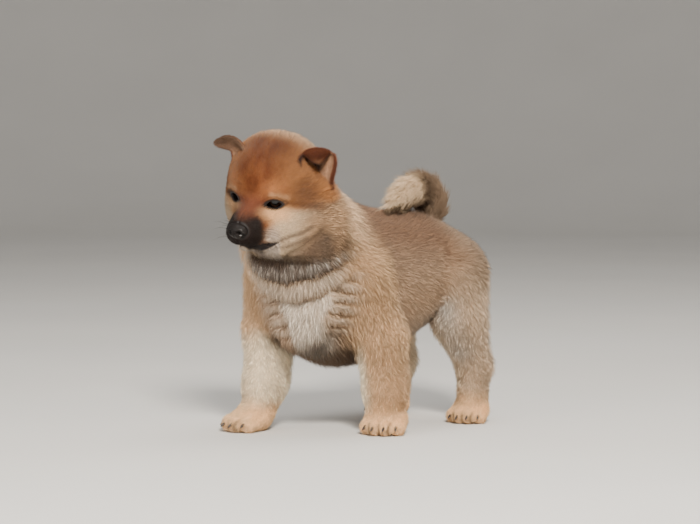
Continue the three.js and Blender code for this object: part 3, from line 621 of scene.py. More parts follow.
def cut_eye(piece, side):
    """Opens the lids over one eye and hollows its socket."""
    centre, axes = eye_frame(side)
    bm = bmesh.new()
    outline = almond_outline(48)
    ring = bmesh.ops.create_circle(bm, cap_ends=True, segments=len(outline), radius=1)["verts"]
    outline = outline + np.array([-side * EYE_OPENING_SHIFT[0], EYE_OPENING_SHIFT[1]])
    for vert, (across, up) in zip(ring, outline):
        vert.co = on_head(centre + across * axes[0] + up * axes[1])
    lifted = bmesh.ops.extrude_face_region(bm, geom=bm.faces[:])["geom"]
    way = Vector(HEAD_TURN @ axes[2]) * OPENING_DEPTH
    bmesh.ops.translate(bm, verts=[v for v in lifted if isinstance(v, bmesh.types.BMVert)], vec=way)
    bmesh.ops.recalc_face_normals(bm, faces=bm.faces)
    opening = mesh_of(bm, "opening")
    bm = bmesh.new()
    put_ball(bm, on_head(centre), [EYE_RADIUS + SOCKET_GAP] * 3, subdivisions=5)
    socket = mesh_of(bm, "socket")
    for tool_mesh in (opening, socket):
        set_coords(tool_mesh, to_frame(coords(tool_mesh)))
        tool = new_object(tool_mesh.name, tool_mesh)
        cut = piece.modifiers.new("cut", "BOOLEAN")
        cut.operation = "DIFFERENCE"
        cut.solver = "MANIFOLD"
        cut.object = tool
        apply_modifiers(piece)
        bpy.data.objects.remove(tool)
        bpy.data.meshes.remove(tool_mesh)


def shape_face(p, outward):
    """Lip line, the black lower lip, the groove below the nose, and the folds of the lids."""
    h = in_head(p)
    above, lip, beside = mouth_height(h)
    below_nose = smooth(h[:, 1], -18, -30)
    line = 1.6 * bell(above, 1.1) * beside
    inset = 0.9 * smooth(above, 0, -1.5) * smooth(above + lip, -1, 1) * beside
    swell = 0.8 * bell(above - 3, 2.2) * beside
    groove = 0.9 * bell(h[:, 0], 0.8) * below_nose * smooth(above, -0.5, 1.5)
    rim, _ = beside_eye(h)
    crease = 0.5 * bell(rim - 2.6, 0.4) * smooth(h[:, 2], -2, 3)
    on = smooth(head_field(p), 4, 2)[:, None]
    return p + outward * ((swell - line - inset - groove - crease)[:, None]) * on


def build_skin():
    """The skin from paws to crown, with a finer face and open eyes."""
    piece = new_object("skin", rough_body())
    melt = piece.modifiers.new("melt", "REMESH")
    melt.mode = "VOXEL"
    melt.voxel_size = VOXEL
    mesh = apply_modifiers(piece)
    p = coords(mesh)
    edges = values_of(mesh.edges, "vertices", 2, np.int32)
    p = onto_skin(p, 4, 5)
    for _ in range(3):
        p = onto_skin(relax(p, edges, 0.5), 1)
    set_coords(mesh, p)
    bm = bmesh.new()
    bm.from_mesh(mesh)
    bm.verts.ensure_lookup_table()
    h = in_head(p)
    fine = ((h > np.array(FACE_LOW)) & (h < np.array(FACE_HIGH))).all(1) & (head_field(p) < 4)
    chosen = [e for e in bm.edges if fine[e.verts[0].index] and fine[e.verts[1].index]]
    bmesh.ops.subdivide_edges(bm, edges=chosen, cuts=1, use_grid_fill=True)
    bmesh.ops.triangulate(bm, faces=[f for f in bm.faces if len(f.verts) > 4])
    bm.to_mesh(mesh)
    bm.free()
    p = onto_skin(coords(mesh), 2)
    p[:, 2] = np.maximum(p[:, 2], SKIN_CLEAR)
    outward = unit(slope_of(skin_field, p)[1])
    set_coords(mesh, to_frame(shape_face(p, outward)))
    for side in (1, -1):
        cut_eye(piece, side)
    shade_smooth(piece.data)
    piece.data.materials.clear()
    piece.data.polygons.foreach_set("material_index", np.zeros(len(piece.data.polygons), np.int32))
    return piece


# Ears: cupped sheets that stand up from the skull and fold over
EARS = {
    "left": {
        "side": 1, "at": (41, 33, 9), "lean": -3, "faces": 36, "length": 54, "half": 18,
        "cup": 0.8, "taper": 2.6, "sideways": 0, "fold": (0.54, 0.9, 155),
    },
    "right": {
        "side": -1, "at": (-28, 15, 13.5), "lean": -3, "faces": 15, "length": 53, "half": 10,
        "cup": 0.55, "taper": 1.8, "sideways": 75, "fold": (0.25, 0.8, 108),
    },
}
EAR_GRID = (26, 40)
EAR_REACH, EAR_SUNK = 0.53, 0.06
EAR_STEPS = 80
EAR_THINNER = 0.6
EAR_CURL = 1.35
EAR_TUFTS = 6.0


def ear_turn(ear):
    side = ear["side"]
    return HEAD_TURN @ turn_about("Z", side * ear["faces"]) @ turn_about("Y", side * ear["lean"])


def ear_ways(ear, s):
    """Directions up the ear, out of its cup and across it, at height s."""
    start, end, angle = ear["fold"]
    bend = math.radians(angle) * smooth(s, start, end)[:, None]
    a = math.radians(ear["sideways"])
    axis = np.array([math.cos(a), ear["side"] * math.sin(a), 0])

    def bent(*way):
        way = np.array(way, float)
        along = axis * (axis @ way) * (1 - np.cos(bend))
        return way * np.cos(bend) + np.cross(axis, way) * np.sin(bend) + along

    return bent(0, 0, 1), bent(0, -1, 0), bent(1, 0, 0)


def ear_sheet(ear, s, t):
    """Front and back points of the ear at height s (0 to 1) and across t (-1 to 1)."""
    steps = np.linspace(0, 1, EAR_STEPS + 1)
    rise = ear_ways(ear, steps)[0]
    climb = np.cumsum((rise[1:] + rise[:-1]) / 2, 0) * ear["length"] / EAR_STEPS
    spine = np.concatenate([[[0, 0, 0]], climb])
    spine = np.stack([np.interp(s, steps, spine[:, n]) for n in range(3)], 1)
    _, face, width = ear_ways(ear, s)
    widening = mix(0.7, 1.0, smooth(s, 0.1, 0.55))
    half = ear["half"] * widening * np.maximum(1 - s ** ear["taper"], 0) ** 0.62 + 0.9
    thick = mix(3.4, 1.8, s) * mix(1.0, 0.55, t * t) - EAR_THINNER
    cup = ear["cup"] * half * t * t * mix(1.0, 0.35, s)
    across = half * np.sin(t * EAR_CURL) / math.sin(EAR_CURL)
    middle = spine + face * cup[:, None] + width * across[:, None]
    turn = ear_turn(ear)
    origin = on_head(ear["at"])
    sheets = [middle + face * (side * thick / 2)[:, None] for side in (1, -1)]
    return [origin + sheet @ turn.T for sheet in sheets]


def build_ear(name, ear):
    """A grid shaped over the ear's front, joined at its edge to one shaped over its back.

    Also gives each vertex's height up the ear, place across it, and 1 on the front.
    """
    bm = bmesh.new()
    rows = []
    for face in (0, 1):
        grid = bmesh.ops.create_grid(bm, x_segments=EAR_GRID[0], y_segments=EAR_GRID[1], size=1)["verts"]
        at = np.array([v.co for v in grid])
        s = (at[:, 1] + 1) * EAR_REACH - EAR_SUNK
        points = ear_sheet(ear, np.clip(s, 0, 1), at[:, 0])[face]
        sunk = np.minimum(s, 0)[:, None] * ear["length"]
        points = points + sunk * (ear_turn(ear) @ np.array([0, 0, 1.0]))
        rows.append(np.stack([np.clip(s, 0, 1), at[:, 0], np.full(len(s), 1.0 - face)], 1))
        for vert, point in zip(grid, points):
            vert.co = point
        if face:
            bmesh.ops.reverse_faces(bm, faces=list({f for v in grid for f in v.link_faces}))
    bmesh.ops.bridge_loops(bm, edges=[e for e in bm.edges if e.is_boundary])
    bmesh.ops.recalc_face_normals(bm, faces=bm.faces)
    mesh = mesh_of(bm, f"ear_{name}_skin")
    return smooth_piece(mesh, coords(mesh)), np.concatenate(rows)


# Markings: colours of hair, as they look on a screen. Some are painted shade: the crease colour, the throat's,
# the ear's hollow and the tail's dark
HAIR = {
    "crown": (184, 126, 76),
    "forehead": (82, 35, 8),
    "temple": (120, 78, 46),
    "bridge": (104, 58, 36),
    "brow_haze": (168, 112, 70),
    "brow": (206, 166, 126),
    "under_eye": (224, 176, 126),
    "cheek": (204, 180, 150),
    "cheek_back": (194, 158, 122),
    "whisker_bed": (190, 172, 156),
    "mask": (18, 10, 7),
    "chin": (180, 166, 152),
    # painted shade under the jaw and in the cheek's folds, over the throat's greyer hair
    "throat_shade": (100, 82, 68),
    "band": (214, 194, 172),
    # painted shade: the dark laid into creases, folds, the armpits, under the chest and between the toes
    "crease": (52, 38, 29),
    "neck": (228, 194, 158),
    "shoulder": (206, 170, 132),
    "back": (146, 112, 86),
    "flank": (200, 168, 138),
    "rump": (166, 142, 118),
    "belly": (176, 158, 140),
    "bib": (246, 232, 214),
    "thigh": (214, 188, 160),
    "grey": (214, 206, 196),
    "leg": (224, 186, 146),
    "pale_leg": (255, 238, 208),
    "foot": (240, 200, 154),
    "tail": (216, 190, 158),
    # the tail's darker fringe, also used as painted shade
    "tail_dark_and_shade": (68, 48, 34),
    "ear_back": (84, 44, 26),
    "ear_rim": (120, 82, 58),
    # painted shade inside the ear's cup
    "ear_hollow": (52, 32, 25),
    "ear_inside": (150, 114, 88),
    "skin_dark": (15, 10, 9),
    "whisker": (60, 46, 38),
}

# Lines in the coat: the first three in the head's frame, the others on the left of the body
CORNER_STREAK = [(28, -4, 1), (34, -2, 0), (42, 4, -2), (54, 18, -4)]
BROW = [(18, -11, 7.6), (23, -8, 7.6), (29, -3.5, 5.2)]
EYE_CORNER = [(12, -12, -3), (14.5, -12, -0.5)]
STIFLE = [(45, 42, 112), (46, 50, 92), (47, 60, 72)]
ARMPIT = [(22, -108, 84), (34, -104, 90), (42, -86, 80), (26, -64, 64)]
RUFF_EDGE = [(38, -73, 212), (46, -56, 196), (67, -50, 160), (72, -50, 130), (77, -54, 98)]


def linear(colour):
    c = np.array(colour, float) / 255
    return np.where(c <= 0.04045, c / 12.92, ((c + 0.055) / 1.055) ** 2.4)


HAIR = {name: linear(colour) for name, colour in HAIR.items()}


def tint(colour, *layers):
    """Lays hair colours over a colour, each given by its name and how much of it there is."""
    for name, amount in layers:
        colour = mix(colour, HAIR[name], amount)
    return colour


def spot(p, centre, radii, soft=0.6):
    """1 in an ellipsoid's middle, fading to 0 past its surface."""
    return smooth(from_centre(p, centre, radii), 1 + soft, 1 - soft)


def head_hair(h):
    wave, m = wobble(h, 5), one_side(h)
    x, y, z = m[:, 0] + 0.8 * wave, m[:, 1], m[:, 2] + 1.2 * wave
    streak = 0.5 + 0.5 * wobble(m * np.array([2.6, 0.5, 1.0]), 5)
    rust = smooth(x, 44, 8) * smooth(z, -3, 9) * smooth(y, 52, 10)
    inner_edge = np.interp(z, (-32, -24, -14, -6), (15, 19, 20, 14))
    cheek = smooth(z, 0, -9) * smooth(x - inner_edge, -3, 8) * smooth(y, -22, -14)
    cheek = np.maximum(cheek, smooth(z, -24, -34) * smooth(y, -16, -6))
    back = np.maximum(smooth(z, 4, -8) * smooth(x, 38, 56), smooth(y, 0, 20) * smooth(z, 2, -10))
    jaw_x, _, jaw_z = np.array(JAW_CREASE).T
    under_jaw = smooth(z - np.interp(x, jaw_x, jaw_z), 0, -5) * smooth(y, 24, 8)
    nose = from_centre(m, (0, -37, -24), (17, 19, 18)) + 0.05 * wave
    above, lip, beside = mouth_height(m)
    below = smooth(above, 0, -2) * smooth(y, -2, -8) * smooth(x, 40, 28)
    rim, _ = beside_eye(h)
    return tint(
        np.tile(HAIR["crown"], (len(h), 1)),
        ("forehead", rust * (0.8 + 0.16 * streak)),
        ("neck", smooth(y + 0.4 * z, 34, 66)),
        ("temple", spot(m, (40, 12, 7), (13, 17, 11), 0.8) * 0.8),
        ("bridge", smooth(y, 2, -10) * smooth(x, 26, 12) * smooth(z, 12, 0)),
        ("cheek", cheek),
        ("cheek_back", back),
        ("temple", bell(near_line(m, CORNER_STREAK), 4.2) * 0.85),
        ("brow_haze", spot(m, (22, -7, 12), (13, 10, 7), 0.8) * 0.55),
        ("brow", bell(near_line(m, BROW), 2.4) * 0.5),
        ("under_eye", spot(m, (22, -9, -9), (13, 12, 6), 0.8) * 0.8),
        ("whisker_bed", spot(m, (23, -15, -28), (7, 9, 7)) * 0.9),
        # painted shade in the cheek's folds and under the jaw
        ("throat_shade", bell(near_line(m, CHEEK_FOLD), 2.0) * 0.75),
        ("throat_shade", bell(near_line(m, LOW_CHEEK_FOLD), 2.0) * 0.75),
        ("throat_shade", under_jaw * 0.8),
        # painted shadow along the crease under the cheek
        ("crease", bell(near_line(m, JAW_CREASE), 3.4) * 0.85 * smooth(y, 40, 16)),
        ("mask", smooth(nose, 1.5, 1.15) * smooth(z, -3, -15) * 0.97),
        ("chin", below * beside),
        ("mask", smooth(above, 1.2, 0) * smooth(above + lip, -1.5, 1.5) * beside),
        ("mask", smooth(rim, 2.1, 1.45) * 0.85),
        ("mask", bell(near_line(m, EYE_CORNER), 2.2) * 0.6),
    )


def body_hair(s, outward):
    p, on_leg = s["p"], s["legness"]
    wave, m = wobble(p, 9), one_side(p)
    x, y, z = m[:, 0], p[:, 1] + 5 * wave, p[:, 2] + 4 * wave
    u, front = neck_fold(p)
    from_middle = np.abs(p[:, 0] - NECK_MIDDLE)
    streak = 0.5 + 0.5 * wobble(p * np.array([3.0, 3.0, 0.8]), 4)
    under_jaw = smooth(u, 0.4, 0.55) * smooth(u, 1.5, 1.1)
    clumps = smooth(u, 0.58, 0.66) * smooth(u, 0.92, 0.8) * streak
    ripple, creased, bib = chest_folds(p)
    hind = smooth(y, 10, 40)
    inner = smooth(outward[:, 0] * np.sign(p[:, 0]), 0.25, -0.5)
    lit_foreleg = smooth(p[:, 0], 0, -20) * (1 - hind)
    between = smooth(outward[:, 2], -0.2, -0.6) * smooth(y, -30, -55) * smooth(p[:, 2], 94, 80) * (1 - on_leg)
    colour = tint(
        np.tile(HAIR["flank"], (len(p), 1)),
        ("back", smooth(outward[:, 2], 0.0, 0.7) * smooth(y, -92, -50)),
        ("rump", smooth(y, 34, 66) * 0.8),
        ("belly", smooth(outward[:, 2], -0.2, -0.8) * smooth(y, -60, -30)),
        ("neck", smooth(s["trunk"] - s["neck"], -6, 10) * smooth(y, -55, -85)),
        ("shoulder", smooth(y, -44, -62) * smooth(z, 190, 160) * smooth(x, 24, 44)),
        # painted shade on the neck under the jaw
        ("throat_shade", front * under_jaw * smooth(from_middle, 50, 26)),
        ("grey", front * clumps * 0.65),
        # painted shade in the neck's middle fold
        ("crease", bell(u - 0.5, 0.07) * front * 0.6),
        ("band", front * smooth(u, 0.05, 0.14) * smooth(u, 0.46, 0.36) * smooth(from_middle, 44, 28)),
        ("bib", bib * smooth(z, 62, 78) * (0.75 + 0.25 * streak)),
        ("band", creased * ripple * 0.85),
        # painted shade in the troughs of the chest's folds
        ("crease", creased * smooth(ripple, 0.35, 0.0) * 0.8),
        ("leg", smooth(z, 140, 95) * on_leg * (1 - hind)),
        ("thigh", on_leg * smooth(z, 165, 130) * hind),
        ("pale_leg", on_leg * smooth(z, 110, 70) * inner * (1 - 0.5 * hind)),
        # partly painted light: the stepped-forward right foreleg made paler as if lit, over its cream hair
        ("pale_leg", on_leg * smooth(z, 100, 80) * lit_foreleg * 0.85),
        ("grey", bell(near_line(m, STIFLE), 11) * 0.8),
        # painted shade in the armpit
        ("crease", bell(near_line(m, ARMPIT), 10) * 0.8),
        # painted shade under the chest, between the forelegs
        ("crease", between * 0.8),
        # painted shadow of the tail's curl on the back
        ("tail_dark_and_shade", under_tail(p) * 0.7),
        # painted shade in the creases round the chest and under the jaw
        ("crease", bell(u + 0.03, 0.09) * front * 0.9),
        ("crease", bell(u - 1.0, 0.13) * front * 0.75),
        ("foot", smooth(z, 36, 18)),
    )
    for name in LEGS:
        q = in_paw(name, p)
        aside = np.abs(q[:, 0])
        # painted shade in the gaps between the toes
        gap = bell(aside - 9.4, 1.0) + bell(q[:, 0], 1.0)
        gap = gap * smooth(q[:, 1], -2, -8) * smooth(q[:, 2], 15, 9) * smooth(aside, 21, 19)
        colour = tint(colour, ("crease", np.clip(gap, 0, 1) * 0.75))
    return colour


def under_tail(p):
    """1 on the back below the curl of the tail."""
    return np.exp(-(((p - np.array([10, 32, 201])) / 15) ** 2).sum(1))


def tail_hair(s, outward):
    y = s["p"][:, 1]
    # Darker on the tail's underside and towards its root: painted shade inside the curl, over the darker hair of
    # its fringe
    edge = smooth(outward[:, 2], 0.15, -0.6)
    rising = smooth(y, 42, 54)
    return mix(HAIR["tail"], HAIR["tail_dark_and_shade"], np.maximum(edge, rising) * 0.88)


def markings(s, outward):
    colour = mix(body_hair(s, outward), head_hair(s["h"]), s["headness"])
    return mix(colour, tail_hair(s, outward), s["tailness"])


def ear_hair(ear, place):
    """Hair colours from height up the ear, place across it, and 1 on the front; the inside of the cup is
    darkened as painted shade.
    """
    up, across, front = place.T
    outer = across * ear["side"]
    edge = np.maximum(np.abs(across), smooth(up, 0.55, 1.0))
    back = mix(HAIR["ear_back"], HAIR["ear_rim"], smooth(edge, 0.9, 0.99) * 0.8)
    # painted shade: the inside of the cup darker, most in the deeper cup
    hollow_shade = HAIR["ear_hollow"] if ear["cup"] > 0.7 else HAIR["ear_inside"] * 0.6
    streak = 0.5 + 0.5 * np.sin(across * 21 + np.sin(up * 9))
    inside = mix(hollow_shade, mix(HAIR["ear_inside"], hollow_shade, streak * 0.35), smooth(outer, -0.1, 0.4))
    inside = mix(inside, HAIR["ear_back"], smooth(outer, 0.72, 0.9))
    return mix(back, inside, smooth(front, 0.4, 0.6))


def bareness(s):
    """1 on naked dark skin: the lids' edges, the lips and the leather of the nose."""
    h = s["h"]
    rim, _ = beside_eye(h)
    above, lip, beside = mouth_height(h)
    lips = smooth(above, 0.6, -0.2) * smooth(above + lip, 0, 1.5) * beside * smooth(np.abs(h[:, 0]), 2, 5)
    line = bell(above, 0.9) * beside
    nose = from_centre(h, NOSE_AT, np.array(NOSE_SIZE) / 2 + 0.6)
    bare = np.maximum(smooth(rim, 1.6, 1.3), smooth(nose, 1.12, 1.0))
    bare = np.maximum(bare, smooth(line, 0.35, 0.75))
    return np.maximum(bare, lips) * s["headness"]


# Coat. Hair is given by length, lift in degrees, width, tufts to a square millimetre (guard, undercoat), and
# pull into clumps. On the legs all but the last are curves over height
TORSO_HAIR = (13, 46, 0.46, 0.24, 1.4, 0.09)
LEG_HAIR = (
    ((5, 20, 45, 90, 130), (5.2, 6.5, 8.5, 11, 13)),
    ((5, 20, 60, 120), (27, 30, 35, 42)),
    ((5, 20, 60, 120), (0.36, 0.4, 0.44, 0.48)),
    ((5, 20, 60, 120), (0.2, 0.2, 0.2, 0.22)),
    ((5, 20, 60, 120), (3.2, 2.6, 1.8, 1.4)),
)
LEG_PULL = 0.1
TAIL_HAIR = (20, 17, 0.42, 1.0, 2.6, 0.14)
SWIRLS = [[1, 0.6, 0.3], [0.4, 1, 0.7], [0.8, 0.2, 1]]
PIECE_TRIANGLES = 190000
BENT_TRIANGLES, STRAIGHT_TRIANGLES = 9, 3
UNDERCOAT_LENGTH = 0.72
LENGTH_SPREAD = (0.72, 1.18)
LIFT_SPREAD, SIDE_SPREAD = 5, 0.14
GUARD_STEEP, GUARD_FLAT, UNDERCOAT_LIFT = 1.55, 0.4, 1.15
ROOT_WIDTH, MIDDLE_WIDTH = 0.5, 0.42
CLUMP_AREA = 10
UV_PATCH = 0.0015


def lie_of_coat(s, outward):
    """Direction in which the hair lies along the skin."""
    p, h, upward = s["p"], s["h"], outward[:, 2]

    def way(*parts):
        return np.stack([part * np.ones(len(p)) for part in parts], 1)

    x = np.sign(p[:, 0]) * np.minimum(np.abs(p[:, 0]) / 40, 1)
    torso = mix(way(0, 0.9, -0.55), np.array([0, 1.0, 0.0]), smooth(np.abs(upward), 0.6, 0.95))
    ruff = mix(way(0.15 * x, 0.55, -0.85), way(0.25 * x, 0, -1), smooth(outward[:, 1], -0.2, -0.8))
    body = mix(torso, ruff, smooth(p[:, 1], -45, -80))
    body = mix(body, way(0, 0.12, -1), s["legness"])
    toes = np.stack([turn_about("Z", turn) @ np.array([0, -1.0, -0.35]) for _, _, turn in LEGS.values()])
    body = mix(body, toes[s["legs"].argmin(0)], smooth(p[:, 2], 30, 14) * s["legness"])
    away = unit(h - np.array([0, -46, -14]))
    face = mix(away, np.array([0, 1.0, 0.15]), smooth(h[:, 1], 0, 40) * smooth(h[:, 2], -5, 20))
    face = face + way(0, 0.3, -0.6) * (smooth(h[:, 2], 0, -25) * smooth(h[:, 1], 0, 25))[:, None]
    lie = mix(unit(body), unit(face @ HEAD_TURN.T), s["headness"])
    stops = np.array(TAIL)[:, :3]
    away = ((p[:, None, :] - stops[None]) ** 2).sum(2)
    share = np.exp(-(away - away.min(1, keepdims=True)) / 120)
    along = share @ unit(np.gradient(stops, axis=0)) / share.sum(1, keepdims=True)
    lie = mix(lie, unit(along) + way(0.2, 0, -0.15 - 0.6 * smooth(upward, 0.2, -0.6)), s["tailness"])
    swirl = np.stack([np.sin(p @ k / 17 + n) for n, k in enumerate(np.array(SWIRLS))], 1)
    lie = lie + 0.16 * swirl * (1 - 0.6 * s["headness"])[:, None]
    lie -= outward * (lie * outward).sum(1, keepdims=True)
    return unit(lie)


def hair_plan(s, outward):
    """The hair at each point: rows of length, lift, width, guard tufts, undercoat tufts, and pull."""
    p, h, legness = s["p"], s["h"], s["legness"]
    y, z, ones = p[:, 1], p[:, 2], np.ones(len(p))
    leg = np.array([np.interp(z, *curve) for curve in LEG_HAIR] + [LEG_PULL * ones])
    plan = mix(np.array(TORSO_HAIR)[:, None] * ones, leg, legness[None])
    ruff = smooth(y, -45, -80) * (1 - legness)
    feather = legness * smooth(outward[:, 1], 0.3, 0.9) * smooth(z, 35, 60)
    thatch = under_tail(p)
    plan[0] += 3 * ruff + 4 * feather + 7 * thatch
    plan[1] += 6 * feather + 22 * thatch
    fold, front = neck_fold(p)
    crease = 1.2 * bell(fold + 0.03, 0.1) * front + 0.6 * bell(fold - 1, 0.14) * front
    crease = crease + 0.6 * bell(fold - 0.5, 0.08) * front
    crease = np.maximum(crease, 0.6 * bell(near_line(one_side(p), RUFF_EDGE), 6) * smooth(y, -54, -48))
    crease = np.maximum(crease, 0.75 * chest_folds(p)[1])
    plan[0] *= 1 - 0.5 * crease
    plan[1] *= 1 - 0.35 * crease
    cheek = smooth(h[:, 1], 4, 36) * smooth(h[:, 2], 16, -10)
    crown = smooth(h[:, 1], 0, 40)
    face = 3 + 3.6 * smooth(h[:, 1], -25, 5) + 5.5 * crown + 7.5 * cheek
    face = mix(face, 2.0, smooth(beside_eye(h)[1], 15, 11))
    face = face * (1 - 0.5 * bell(near_line(one_side(h), JAW_CREASE), 3.5))
    head = np.array([
        face,
        23 + 20 * crown + 12 * cheek,
        0.3 + 0.12 * crown + 0.14 * cheek,
        0.4 + 0.3 * crown + 0.1 * cheek,
        4.8 - 1.9 * crown - 1.2 * cheek,
        0.12 + 0.14 * crown + 0.04 * cheek,
    ])
    plan = mix(plan, head, s["headness"][None])
    return mix(plan, np.array(TAIL_HAIR)[:, None] * ones, s["tailness"][None])


def unwrap(piece):
    """Unwraps a skin piece on its own shape."""
    bpy.ops.object.select_all(action="DESELECT")
    piece.select_set(True)
    bpy.context.view_layer.objects.active = piece
    piece.data.uv_layers.new(name="OFBake")
    bpy.ops.object.mode_set(mode="EDIT")
    bpy.ops.mesh.select_all(action="SELECT")
    bpy.ops.uv.smart_project(angle_limit=math.radians(66), island_margin=0.002)
    bpy.ops.object.mode_set(mode="OBJECT")


def scatter(mesh, density):
    """Roots spread over a mesh: points, face directions, places on its unwrap.

    The last result is a function that carries the vertices' values to the roots.
    """
    mesh.calc_loop_triangles()
    tris, loops = (values_of(mesh.loop_triangles, key, 3, np.int32) for key in ("vertices", "loops"))
    corner = from_frame(coords(mesh))[tris]
    cross = np.cross(corner[:, 1] - corner[:, 0], corner[:, 2] - corner[:, 0])
    area = np.linalg.norm(cross, axis=1) / 2
    middle = corner.mean(1)
    wanted = area * density(middle, unit(cross))
    count = np.floor(wanted + rng.random(len(wanted))).astype(int)
    pick = np.repeat(np.arange(len(tris)), count)
    u, v = rng.random((2, len(pick)))
    over = u + v > 1
    u[over], v[over] = 1 - u[over], 1 - v[over]
    weights = np.stack([1 - u - v, u, v], 1)[:, :, None]
    roots = (corner[pick] * weights).sum(1)
    uv = np.zeros((len(pick), 2))
    if "OFBake" in mesh.uv_layers:
        uv = (values_of(mesh.uv_layers["OFBake"].uv, "vector", 2)[loops[pick]] * weights).sum(1)
    return roots, unit(cross)[pick], uv, lambda values: (values[tris[pick]] * weights).sum(1)


def clump_tips(middle, tip, root, pull, density):
    """Draws the tips of neighbouring tufts together, round leaders a few millimetres apart."""
    leaders = np.flatnonzero(rng.random(len(root)) * density * CLUMP_AREA < 1)
    tree = kdtree.KDTree(len(leaders))
    for k, leader in enumerate(leaders):
        tree.insert(root[leader], k)
    tree.balance()
    own = leaders[np.array([tree.find(r)[1] for r in root])]
    apart = root - root[own]
    tip = mix(tip, tip[own] + apart * 0.3, pull * 0.8)
    middle = mix(middle, middle[own] + apart * 0.75, pull * 0.4)
    return middle, tip, own


def tuft_piece(name, root, middle, tip, across, out, width, hue, shade, uv, material, bent=True):
    """One mesh of three-sided tapered tufts, bent in the middle or straight."""
    n = len(root)
    size = 7 if bent else 4
    points = np.empty((n, size, 3))
    pattern = []
    for k in range(3):
        angle = math.radians(90 + 120 * k)
        side = across * math.cos(angle) + out * math.sin(angle)
        points[:, k] = root + side * (width * ROOT_WIDTH)[:, None]
        a, b = k, (k + 1) % 3
        if bent:
            points[:, 3 + k] = middle + side * (width * MIDDLE_WIDTH)[:, None]
            pattern += [(a, b, b + 3), (a, b + 3, a + 3), (a + 3, b + 3, 6)]
        else:
            pattern.append((a, b, 3))
    points[:, -1] = tip
    points[:, :, 2] = np.maximum(points[:, :, 2], HAIR_CLEAR)
    faces = (np.arange(n)[:, None, None] * size + np.array(pattern)[None]).reshape(-1, 3)
    mesh = bpy.data.meshes.new(name)
    mesh.vertices.add(n * size)
    mesh.vertices.foreach_set("co", to_frame(points.reshape(-1, 3)).astype(np.float32).ravel())
    mesh.loops.add(len(faces) * 3)
    mesh.loops.foreach_set("vertex_index", faces.astype(np.int32).ravel())
    mesh.polygons.add(len(faces))
    mesh.polygons.foreach_set("loop_start", np.arange(0, len(faces) * 3, 3, dtype=np.int32))
    shade_smooth(mesh)
    mesh.update(calc_edges=True)
    along = np.tile([0, 0, 0, 0.5, 0.5, 0.5, 1.0] if bent else [0, 0, 0, 1.0], n)
    shade = np.repeat(shade, size)
    set_looks(mesh, np.repeat(hue, size, 0), np.stack([along, shade, 0 * shade], 1))
    patch = np.array([(-1, -1), (0, -1), (1, -1), (-1, 0), (0, 0), (1, 0), (0, 1)]) * UV_PATCH
    patch = patch if bent else patch[[0, 1, 2, 6]]
    place = (uv[:, None, :] + patch[None]).reshape(-1, 2)[faces.ravel()]
    mesh.uv_layers.new(name="OFBake").uv.foreach_set("vector", place.astype(np.float32).ravel())
    return new_object(name, mesh, material)


def grow(groups, root, outward, lie, plan, hue, uv, material, sunk=0.4, guard=None):
    """Tufts from their roots, in pieces by group: a dict of name to a mask over the roots.

    The tufts that guard marks are long and bent, and the rest short and straight.
    """
    length, lift, width, long_density, short_density, clump = plan
    n = len(root)
    guard = np.zeros(n, bool) if guard is None else guard
    length = np.where(guard, length, length * UNDERCOAT_LENGTH)
    length = length * rng.uniform(*LENGTH_SPREAD, n)
    lift = np.radians(lift + rng.normal(0, LIFT_SPREAD, n))
    side = np.cross(outward, lie)
    lie = unit(lie + side * rng.normal(0, SIDE_SPREAD, n)[:, None])
    side = np.cross(outward, lie)
    steep, flat = (np.where(guard, lift * by, lift * UNDERCOAT_LIFT) for by in (GUARD_STEEP, GUARD_FLAT))
    first = lie * np.cos(steep)[:, None] + outward * np.sin(steep)[:, None]
    second = lie * np.cos(flat)[:, None] + outward * np.sin(flat)[:, None]
    base = root - outward * sunk
    middle = base + first * (length * 0.45)[:, None]
    tip = middle + second * (length * 0.55)[:, None]
    middle, tip, own = clump_tips(middle, tip, base, clump, long_density + short_density)
    shade = 0.5 * rng.random(n) + 0.5 * rng.random(n)[own]
    pieces = []
    for name, mask in groups.items():
        for bent in (True, False):
            chosen = np.flatnonzero(mask & (guard == bent))
            kind = name if bent else name.replace("coat", "undercoat")
            triangles = len(chosen) * (BENT_TRIANGLES if bent else STRAIGHT_TRIANGLES)
            parts = math.ceil(triangles / PIECE_TRIANGLES)
            for k, part in enumerate(np.array_split(chosen, max(parts, 1))):
                if not len(part):
                    continue
                label = kind if parts == 1 else f"{kind}_{k + 1}"
                rows = [a[part] for a in (base, middle, tip, side, outward, width, hue, shade, uv)]
                pieces.append(tuft_piece(label, *rows, material, bent))
    return pieces


# Materials
class Wire:
    """A socket in a material, with Python's + and * on values."""

    def __init__(self, recipe, socket):
        self.recipe, self.socket = recipe, socket

    def _math(self, operation, a, b):
        return self.recipe.node("ShaderNodeMath", {"operation": operation}, [a, b])

    def __add__(self, other):
        return self._math("ADD", self, other)

    __radd__ = __add__

    def __mul__(self, other):
        return self._math("MULTIPLY", self, other)

    __rmul__ = __mul__


